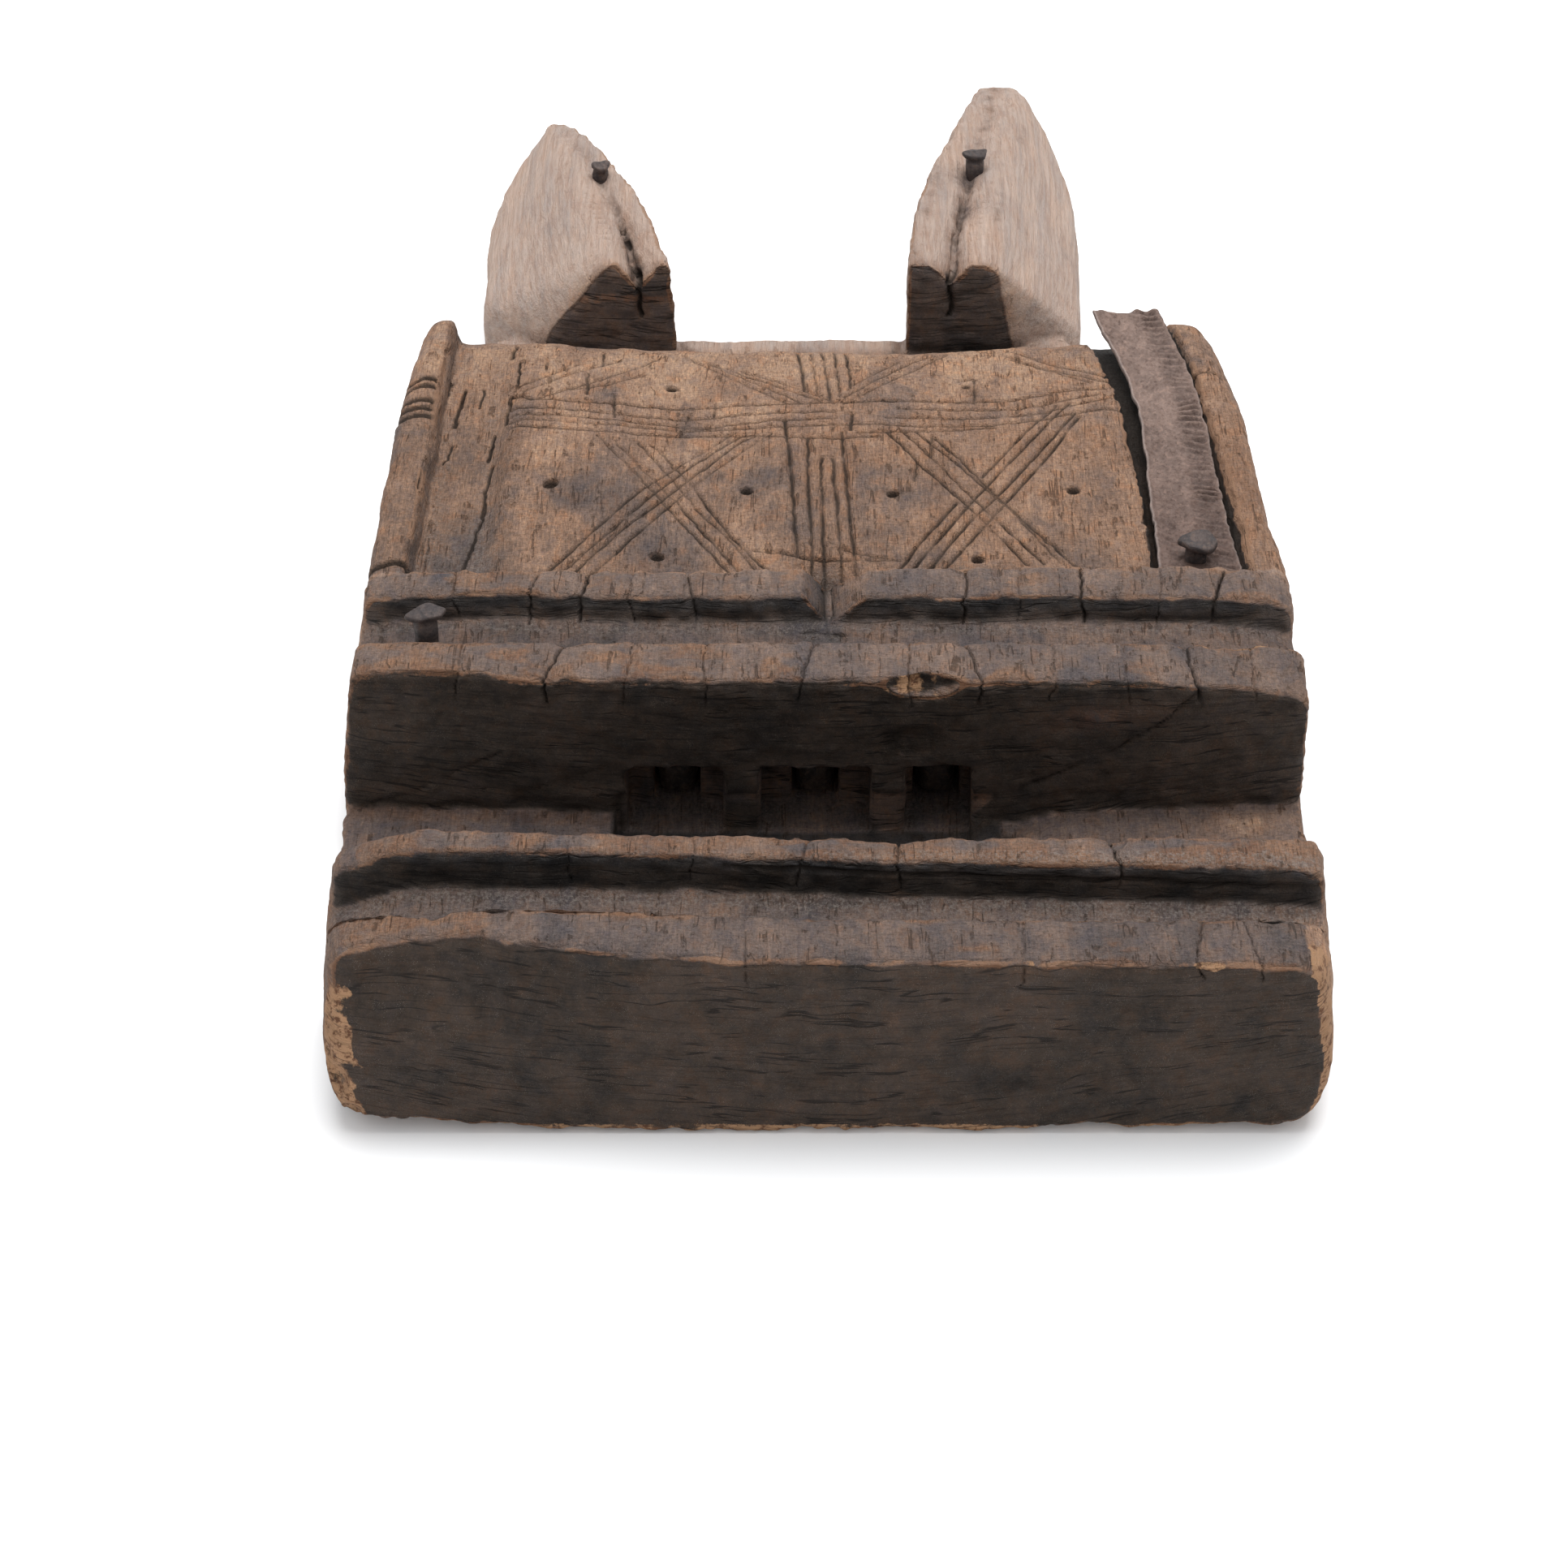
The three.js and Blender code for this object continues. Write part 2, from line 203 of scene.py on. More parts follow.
DROP_1 = table([(-90, 2.2), (-76, 1.8), (-62, 0.8), (-52, 0.1), (-45, 0), (0, 0.1), (28, 0.6), (64, 0.7), (72, 1.1), (79, 2.3), (90, 4)], 1.5)
DROP_2 = table([(-90, 7.0), (-77, 4.6), (-73, 3.0), (-69.5, 1.6), (-67, 0.5), (-64, 0.0), (70, 0), (76, 0.8), (90, 3)], 0.8)
DROP_3 = table([(-90, 2), (-78, 1.0), (-74, 0.2), (-66, -0.2), (-50, -0.1), (0, 0), (52, 0), (60, 0.5), (70, 1.7), (79, 3.4), (90, 6)], 1.2)
DROP_4 = table([(-90, 3), (-78, 1.4), (-72, 0.3), (-60, 0), (60, 0), (70, 0.2), (76, 1.0), (80, 2.4), (90, 5)], 1.2)
FLOOR = table([(-90, 9.6), (-82, 9.3), (-60, 8.7), (-45, 8.3), (-36, 7.8), (16, 7.4), (22, 5.7), (27, 5.3), (33, 5.8), (39, 7.4), (46, 8.4), (60, 8.9), (82, 10.2), (90, 10.6)], 1.0)

PANEL_R = table([(90, 57.4), (108, 57.2), (130, 56.7), (145, 55.7), (155, 54.9), (176, 51.8), (183, 49.1), (192, 46), (300, 40)], 1.5)
RAIL_RI = table([(90, 73.0), (108, 72.6), (125, 71.4), (150, 69.6), (170, 67.6), (183, 65.4), (192, 64), (300, 60)], 2)
RAIL_LI = table([(90, -71.6), (120, -71.4), (150, -71.0), (183, -70.2), (300, -70)], 2)
PANEL_Z = table([(90, 32.5), (99, 32.6), (110, 33.0), (130, 33.7), (150, 33.8), (165, 33.3), (175, 32.6), (190, 31.0), (300, 20)], 3)
RAIL_LZ = table([(90, 34.2), (99, 34.6), (106, 35.4), (140, 35.8), (170, 35.9), (178, 36.0), (183, 35.6), (200, 33)], 2)
RAIL_RZ = table([(90, 34.0), (99, 34.4), (110, 35.0), (140, 35.3), (170, 35.2), (200, 34)], 2)


def front_height(x, u):
    """Height of the front between the last ridge and the shoulder: panel, side recesses and rails."""
    z_panel = PANEL_Z(u) - 1.9 * np.exp(-((x / 44.0) ** 2)) * step(140, 182, u) + 0.25 * np.sin(x / 9.0 + u / 21.0)
    z_left = 30.9 + 0.5 * step(110, 175, u) + 0.35 * np.sin(u / 13.0)
    z_right = 29.7 + 0.9 * step(120, 180, u)
    z_panel = z_panel - 3.1 * np.exp(-(((x - 0.6) / 4.6) ** 2)) * step(109.5, 101.5, u)
    h = z_left + (z_panel - z_left) * step(-61.0, -55.5, x)
    pr = PANEL_R(u)
    h = h + (z_right - h) * step(pr - 0.35, pr + 0.75, x)
    rl = RAIL_LI(u)
    mid = (rl - LEFT(u) + 3.0) * 0.5
    bead = RAIL_LZ(u) - 0.055 * (x - mid) ** 2 * (np.abs(x - mid) < 8)
    h = h + (bead - h) * step(rl + 0.9, rl - 0.7, x)
    rr = RAIL_RI(u)
    mid = (rr + RIGHT(u) - 3.0) * 0.5
    bead = RAIL_RZ(u) - 0.05 * (x - mid) ** 2 * (np.abs(x - mid) < 9)
    h = h + (bead - h) * step(rr - 1.0, rr + 1.4, x)
    return h


# ------------------------------------------------------------------ the ears, each a convex block with worn edges
EAR_LEFT = [
    (-28.6, 202, -3), (-29.7, 202, 36.4), (-41.5, 202, 36.2), (-54, 202, 20), (-60, 202, -3), (-31.6, 212, 36.2),
    (-48, 225, 35.8), (-37.4, 233, 35.8), (-69, 216, 17), (-68.5, 214, -3), (-69.5, 250, 18.5), (-69.5, 250, -3),
    (-54.5, 249, 34.8), (-47, 256, 34.0), (-64.4, 264, 23.5), (-64.4, 264, -3), (-57.8, 271, 30.0), (-53.2, 271, 30.0),
    (-57.8, 271, -3), (-52.3, 270, -3), (-51.2, 266, 31.8), (-36, 233, -3), (-46.3, 256, -3),
]
EAR_RIGHT = [
    (15.6, 202, -3), (16.3, 202, 36.2), (33, 202, 35.8), (37, 202, 21), (41, 202, -3), (17.2, 221, 36.2),
    (18.9, 232, 36.0), (36.6, 232, 35.8), (51.7, 212, 14.5), (51.7, 212, -3), (53.4, 255, 16.5), (53.4, 255, -3),
    (38.6, 249, 35.0), (23.2, 249, 35.2), (50.6, 272, 20), (50.6, 272, -3), (47, 281, 24), (47, 281, -3),
    (41, 266, 33.6), (28, 266, 33.8), (32, 282, 31.4), (41, 289.4, 28.9), (32.6, 288.6, 28.9), (41, 289.4, -3),
    (32.6, 288.6, -3), (43.4, 286.6, 27.9), (28, 266, -3), (18, 232, -3),
]


def planes_of(points):
    bm = bmesh.new()
    for p in points:
        bm.verts.new(p)
    bmesh.ops.convex_hull(bm, input=bm.verts)
    bm.normal_update()
    centre = Vector(np.mean(points, 0))
    found = []
    for f in bm.faces:
        n, p = f.normal.copy(), f.calc_center_median()
        if n.dot(p - centre) < 0:
            n = -n
        d = n.dot(p)
        if not any(n.dot(m) > 0.9995 and abs(d - e) < 0.05 for m, e in found):
            found.append((n, d))
    bm.free()
    return [(n.x, n.y, n.z, d) for n, d in found]


PL_LEFT, PL_RIGHT = planes_of(EAR_LEFT), planes_of(EAR_RIGHT)


def hull_distance(planes, x, u, z, k=0.55):
    """A soft maximum over the hull's planes, so that its edges are rounded."""
    ds = [nx * x + nu * u + nz * z - d for nx, nu, nz, d in planes]
    top = ds[0]
    for d in ds[1:]:
        top = np.maximum(top, d)
    total = 0
    for d in ds:
        total = total + np.exp(np.clip((d - top) / k, -30, 0))
    return top + k * np.log(total) - 0.15


def boxd(x, u, z, lo, hi, r=0.4):
    qx = np.abs(x - (lo[0] + hi[0]) / 2) - (hi[0] - lo[0]) / 2 + r
    qu = np.abs(u - (lo[1] + hi[1]) / 2) - (hi[1] - lo[1]) / 2 + r
    qz = np.abs(z - (lo[2] + hi[2]) / 2) - (hi[2] - lo[2]) / 2 + r
    out = np.sqrt(np.maximum(qx, 0) ** 2 + np.maximum(qu, 0) ** 2 + np.maximum(qz, 0) ** 2)
    return out + np.minimum(np.maximum(qx, np.maximum(qu, qz)), 0) - r


def ell(x, u, z, c, r):
    """Signed distance to an ellipsoid, near enough."""
    k = np.sqrt(((x - c[0]) / r[0]) ** 2 + ((u - c[1]) / r[1]) ** 2 + ((z - c[2]) / r[2]) ** 2)
    return (k - 1) * min(r)


VALLEYS = [  # u, x of the valley's bottom on each ear's top strip, and how deep
    (table([(200, -35.9), (210, -37.6), (225, -41.2), (240, -45.6), (250, -49.3), (262, -53.6), (275, -56.5)], 2), table([(198, 6.2), (204, 5.2), (212, 3.6), (230, 2.6), (250, 1.8), (262, 1.0), (272, 0.2)], 2)),
    (table([(200, 24.7), (215, 26.0), (232, 28.6), (249, 31.2), (266, 34.6), (282, 36.6), (292, 37.2)], 2), table([(198, 5.2), (204, 4.4), (212, 3.6), (230, 3.0), (250, 2.2), (270, 1.2), (286, 0.2)], 2)),
]
TOP_L = table([(195, 36.3), (225, 36.0), (249, 34.9), (256, 34.1), (266, 32.0), (275, 29)], 2)
TOP_R = table([(195, 36.1), (232, 35.9), (249, 35.0), (266, 33.7), (282, 31.4), (292, 28.5)], 2)


def shape(x, u, z, w):
    """Signed distance to the wooden case; w holds slow noise at the same points."""
    n1, n2, n3 = w
    hand = 0.55 * n1  # uneven hand carving
    xs, us, zs = x + 0.5 * n2, u + 0.45 * n3, z + 0.30 * n1
    # ridged part
    top_zone = step(18, 34, zs)
    uf = us - BEVEL_FOOT(x) * top_zone * (u < 14)
    uf = np.where((u > 55) & (u < 73.5), us - BEVEL_WALL(x) * top_zone * step(74.5, 70, u), uf)
    # the second ridge runs slightly askew, and the last one wavers
    second = (u > 12) & (u < 50)
    far = step(24.5, 28.5, u)
    uf = np.where(second, us - (SHIFT_FAR(x) * far + SHIFT_NEAR(x) * (1 - far)) * step(12.5, 19, u) * step(50, 40, u), uf)
    uf = np.where((u > 86) & (u < 97), us - SHIFT_4(x) * step(86, 89, u) * step(97, 94, u), uf)
    uf = np.where((u > 97) & (u < 106), us - SHIFT_4F(x) * step(97, 99.5, u), uf)
    drop = np.where(u < 17, DROP_1(x), np.where(u < 50, DROP_2(x), np.where(u < 84, DROP_3(x) * step(82, 70, u) + 0.25 * DROP_3(x) * step(70, 82, u), DROP_4(x))))
    lift = np.where((u > 28) & (u < 69.5) & (z < 22), 8.3 - FLOOR(x), 0)
    zf = zs + np.where(z > 22, drop, lift)
    ridged = profile_distance(uf, zf)
    # panel part
    h = front_height(xs, us)
    front = (zs - h) * 0.92
    u_end = 186.2 - 1.4 * np.exp(-((x / 40.0) ** 2)) + 0.7 * n2 + 0.012 * (z - 20) + 2.4 * step(60, 66, x)
    k_end = np.where(x > 60, 9.0, 10.0) - 4.5 * step(-68, -74, x)
    panel = smax(front, us - u_end, k_end)
    panel = np.maximum(panel, 94.0 - u)
    body = np.minimum(ridged, panel)
    # V notch in the last ridge
    notch = (z - 31.1 - np.where(x < 0.8, 1.22 * (0.8 - x), 0.80 * (x - 0.8)) + 0.25 * n2) * -0.70
    notch = np.maximum(notch, np.maximum(89.0 - u, u - 101.6))
    body = smax(body, -notch, 0.6)
    # sides, back
    ins = INSET(z)
    rough = 0.35 * n3
    upright = step(52, 62, u) * step(120, 104, u)
    right = (x - RIGHT(u) + ins + upright * (0.9 * step(21, 14, z) * step(5, 9, z) - 1.1 * step(22, 33, z)) + rough) * 0.985
    left = (-x - LEFT(u) + ins + rough) * 0.985
    corner = 9.0 * step(150, 184, u)
    body = smax(body, right, 1.5 + 0.75 * corner + 2.5 * step(30, 6, u))
    body = smax(body, left, 1.5 + 0.5 * corner + 2.2 * step(30, 6, u))
    back = -(z - 0.18 - 0.00035 * x * x * step(90, 40, np.abs(u - 20)) - 0.18 * n2 - (0.20 + 0.3 * n3 + 1.4 * step(-40, -76, x)) * step(9.0, 0.5, u))
    body = smax(body, back, 0.9)
    # neck
    neck = boxd(x, u, z, (-66, 178, -6), (50, 209, 15.2 + 0), 2.5)
    neck = smax(neck, -(z - 0.35), 0.6) + 0.3 * n1
    body = smin(body, neck, 2.5)
    # ears
    for planes, (vx, vd), ztop, side in ((PL_LEFT, VALLEYS[0], TOP_L, -1), (PL_RIGHT, VALLEYS[1], TOP_R, 1)):
        near = (u > 196) & (x * side > 8)
        if not near.any():
            continue
        xe, ue, ze, ne = xs[near], us[near], zs[near], n3[near]
        ear = hull_distance(planes, xe, ue, ze)
        depth = vd(ue)
        half = 4.4 - 0.012 * (ue - 202)
        floor = ztop(ue) - depth + depth * np.abs(xe - vx(ue)) / half
        cut = (ze - floor) * 0.72
        ear = smax(ear, cut, 0.9)
        ear = smax(ear, -(ze - 0.35), 0.6)
        ear = ear + 0.12 * ne
        body[near] = smin(body[near], ear, 1.6)
    # pocket, windows, comb and chamber
    near = (np.abs(x + 3) < 48) & (u > 48) & (u < 126) & (z < 22)
    if near.any():
        a, b, c, m1 = x[near], u[near], z[near], n1[near]
        low = boxd(a, b, c, (-35.5, 52, 3.2), (29.0, 69.2, 12), 0.3)
        low = smax(low, (a - 22.0) * 0.72 + (c - 3.2) * -0.69 * 1.0 - 0.2, 0.8)  # the right end slopes
        cut = low
        for xa, xb in ((-33.5, -17), (-10.8, 7.9), (13.7, 24.8)):
            cut = np.minimum(cut, boxd(a + 0.25 * m1, b, c + 0.3 * m1, (xa, 60, 3.2), (xb, 77, 17), 0.7))
        for xc in (-25.2, -1.5, 19.3):
            cut = np.minimum(cut, boxd(a, b, c, (xc - 4.05, 74, 3.1), (xc + 4.05, 88, 12.4), 0.3))
        cut = np.minimum(cut, boxd(a, b, c, (-36, 86, -6), (30, 122, 14), 0.8))
        body[near] = smax(body[near], -cut, 0.35)
    # chips and scars
    for c, r, k in SCARS:
        near = (np.abs(x - c[0]) < r[0] + 3) & (np.abs(u - c[1]) < r[1] + 3) & (np.abs(z - c[2]) < r[2] + 3)
        if near.any():
            e = ell(x[near] + 0.8 * n2[near], u[near] + 0.6 * n3[near], z[near] + 0.8 * n1[near], c, r)
            body[near] = smax(body[near], -e, k)
    return body - 0.10 * hand


SCARS = [
    # centre, radii, softness
    ((16.5, 68.2, 35.2), (6.2, 2.6, 3.0), 0.4),
    ((15.0, 68.6, 23.0), (5.5, 1.3, 3.6), 0.3),
    ((19.2, 68.6, 16.0), (5.8, 1.2, 1.6), 0.3),
    ((-77.5, 0.5, 27.0), (2.2, 4.0, 3.0), 0.4),
    ((-76.5, 0.0, 21.0), (1.9, 3.2, 2.4), 0.3),
    ((-77.8, 0.5, 15.5), (2.8, 3.5, 2.6), 0.3),
    ((-75.2, -0.6, 11.0), (2.6, 3.2, 4.6), 0.4),
    ((-74.0, -0.8, 5.0), (3.0, 2.4, 2.6), 0.4),
    ((-77.0, 3.0, 36.0), (7.0, 4.0, 2.0), 0.8),
    ((-57, -0.5, 1.0), (8.0, 1.6, 1.5), 0.5),
    ((-30, -0.5, 0.3), (10.0, 1.4, 1.1), 0.5),
    ((12, -0.6, 0.3), (6.0, 1.5, 1.3), 0.5),
    ((40, -0.4, 1.2), (7.0, 1.4, 1.3), 0.5),
    ((30.5, 0.0, 36.2), (2.0, 1.4, 1.5), 0.4),
    ((57.0, 0.0, 36.0), (3.4, 1.6, 1.4), 0.4),
    ((1.6, 87.4, 31.2), (3.6, 0.9, 1.3), 0.3),
    ((-2.2, 88.0, 31.2), (1.8, 1.1, 1.3), 0.3),
    ((68.5, 80.5, 35.1), (5.0, 1.7, 2.4), 0.4),
    ((57.0, 14.0, 29.4), (3.2, 1.6, 1.5), 0.4),
    ((62.0, 12.4, 30.6), (2.2, 1.2, 1.6), 0.4),
    ((-6.5, 29.2, 36.2), (3.2, 2.2, 1.1), 0.4),
    ((10.0, 29.4, 36.4), (3.0, 2.0, 0.9), 0.4),
    ((46.0, 29.2, 36.2), (1.6, 2.2, 1.2), 0.4),
    ((33.0, 66.5, 8.6), (3.4, 2.2, 1.4), 0.3),
    ((-60, 12.3, 34), (4, 1.4, 2.2), 0.6),
]


def slow_noise(x, u, z):
    return (
        noise3(x / 23.0, u / 19.0, z / 21.0, 11),
        fbm(x / 9.0, u / 12.0, z / 8.0, 23, 2),
        fbm(x / 4.2, u / 6.5, z / 3.8, 37, 2),
    )


# ------------------------------------------------------------------ surface nets
def surface_nets(fn, lo, hi, h):
    nx, nu, nz = (int(math.ceil((hi[i] - lo[i]) / h)) + 1 for i in range(3))
    gx = (lo[0] + h * np.arange(nx)).astype(F)
    gu = (lo[1] + h * np.arange(nu)).astype(F)
    gz = (lo[2] + h * np.arange(nz)).astype(F)
    X, U, Z = np.meshgrid(gx, gu, gz, indexing="ij")
    X, U, Z = X.ravel(), U.ravel(), Z.ravel()
    zero = np.zeros_like(X)
    val = fn(X, U, Z, (zero, zero, zero))
    near = np.abs(val) < 3.5
    w = slow_noise(X[near], U[near], Z[near])
    val[near] = fn(X[near], U[near], Z[near], w)
    val = val.reshape(nx, nu, nz)
    s = val < 0
    c = [val[i : nx - 1 + i, j : nu - 1 + j, k : nz - 1 + k] for i in (0, 1) for j in (0, 1) for k in (0, 1)]
    cs = [v < 0 for v in c]
    count = sum(v.astype(np.int8) for v in cs)
    active = (count > 0) & (count < 8)
    idx = -np.ones(active.shape, np.int64)
    idx[active] = np.arange(active.sum())
    corner = [np.array(v) for v in ((i, j, k) for i in (0, 1) for j in (0, 1) for k in (0, 1))]
    cv = [v[active] for v in c]
    acc = np.zeros((active.sum(), 3))
    cnt = np.zeros(active.sum())
    for a in range(8):
        for b in range(a + 1, 8):
            if np.abs(corner[a] - corner[b]).sum() != 1:
                continue
            cross = (cv[a] < 0) != (cv[b] < 0)
            t = np.where(cross, cv[a] / np.where(cross, cv[a] - cv[b], 1), 0)
            p = corner[a] + t[:, None] * (corner[b] - corner[a])
            acc += p * cross[:, None]
            cnt += cross
    base = np.argwhere(active)
    V = (base + acc / cnt[:, None]) * h + np.array(lo)
    quads = []
    for axis in range(3):
        o1, o2 = [a for a in range(3) if a != axis]
        a = [slice(None)] * 3
        b = [slice(None)] * 3
        a[axis], b[axis] = slice(0, -1), slice(1, None)
        cross = s[tuple(a)] != s[tuple(b)]
        for o in (o1, o2):  # the four cells round the edge must exist
            sl = [slice(None)] * 3
            sl[o] = 0
            cross[tuple(sl)] = False
            sl[o] = -1
            cross[tuple(sl)] = False
        e = np.argwhere(cross)
        inside_first = s[tuple(a)][cross]
        def cell(d1, d2):
            q = e.copy()
            q[:, o1] -= d1
            q[:, o2] -= d2
            return idx[q[:, 0], q[:, 1], q[:, 2]]
        quad = np.stack([cell(0, 0), cell(1, 0), cell(1, 1), cell(0, 1)], 1)
        flip = inside_first if axis != 1 else ~inside_first
        quad[flip] = quad[flip][:, ::-1]
        quads.append(quad)
    return V, np.concatenate(quads)[:, ::-1].copy()


def refine(V, Q, ngons, flag):
    """Splits the flagged quads in four; their neighbours take the new edge points as extra corners."""
    n = len(V)
    e = np.stack([Q, np.roll(Q, -1, 1)], 2)
    key = np.minimum(e[..., 0], e[..., 1]) * np.int64(n + 1) + np.maximum(e[..., 0], e[..., 1])
    split = np.unique(key[flag].ravel())
    a, b = split // (n + 1), split % (n + 1)
    mids = (V[a] + V[b]) / 2
    at = np.searchsorted(split, key)
    at = np.clip(at, 0, len(split) - 1)
    has = split[at] == key
    mid = np.where(has, at + n, -1)
    centre = V[Q[flag]].mean(1)
    c = n + len(mids) + np.arange(flag.sum())
    q, m = Q[flag], mid[flag]
    new = [np.stack([q[:, i], m[:, i], c, m[:, i - 1]], 1) for i in range(4)]
    rest = ~flag
    touched = rest & has.any(1)
    plain = Q[rest & ~touched]
    out = []
    for row, mm in zip(Q[touched].tolist(), mid[touched].tolist()):
        poly = []
        for i in range(4):
            poly.append(row[i])
            if mm[i] >= 0:
                poly.append(mm[i])
        out.append(poly)
    look = dict(zip(split.tolist(), range(n, n + len(split))))
    for poly in ngons:
        new_poly = []
        for i, p in enumerate(poly):
            r = poly[(i + 1) % len(poly)]
            new_poly.append(p)
            k = min(p, r) * (n + 1) + max(p, r)
            if k in look:
                new_poly.append(look[k])
        out.append(new_poly)
    return np.concatenate([V, mids, centre]), np.concatenate([plain] + new), out


def settle(V, w, steps=2, h=0.12):
    """Moves the points onto the surface."""
    for _ in range(steps):
        x, u, z = (V[:, i].astype(F) for i in range(3))
        f = shape(x, u, z, w)
        g = np.stack([shape(x + F(h), u, z, w) - f, shape(x, u + F(h), z, w) - f, shape(x, u, z + F(h), w) - f], 1) / h
        m = (g * g).sum(1)
        m = np.maximum(m, 0.25)
        d = g * (f / m)[:, None]
        size = np.sqrt((d * d).sum(1))
        d *= np.minimum(1, 0.8 / np.maximum(size, 1e-6))[:, None]
        V = V - d
    return V


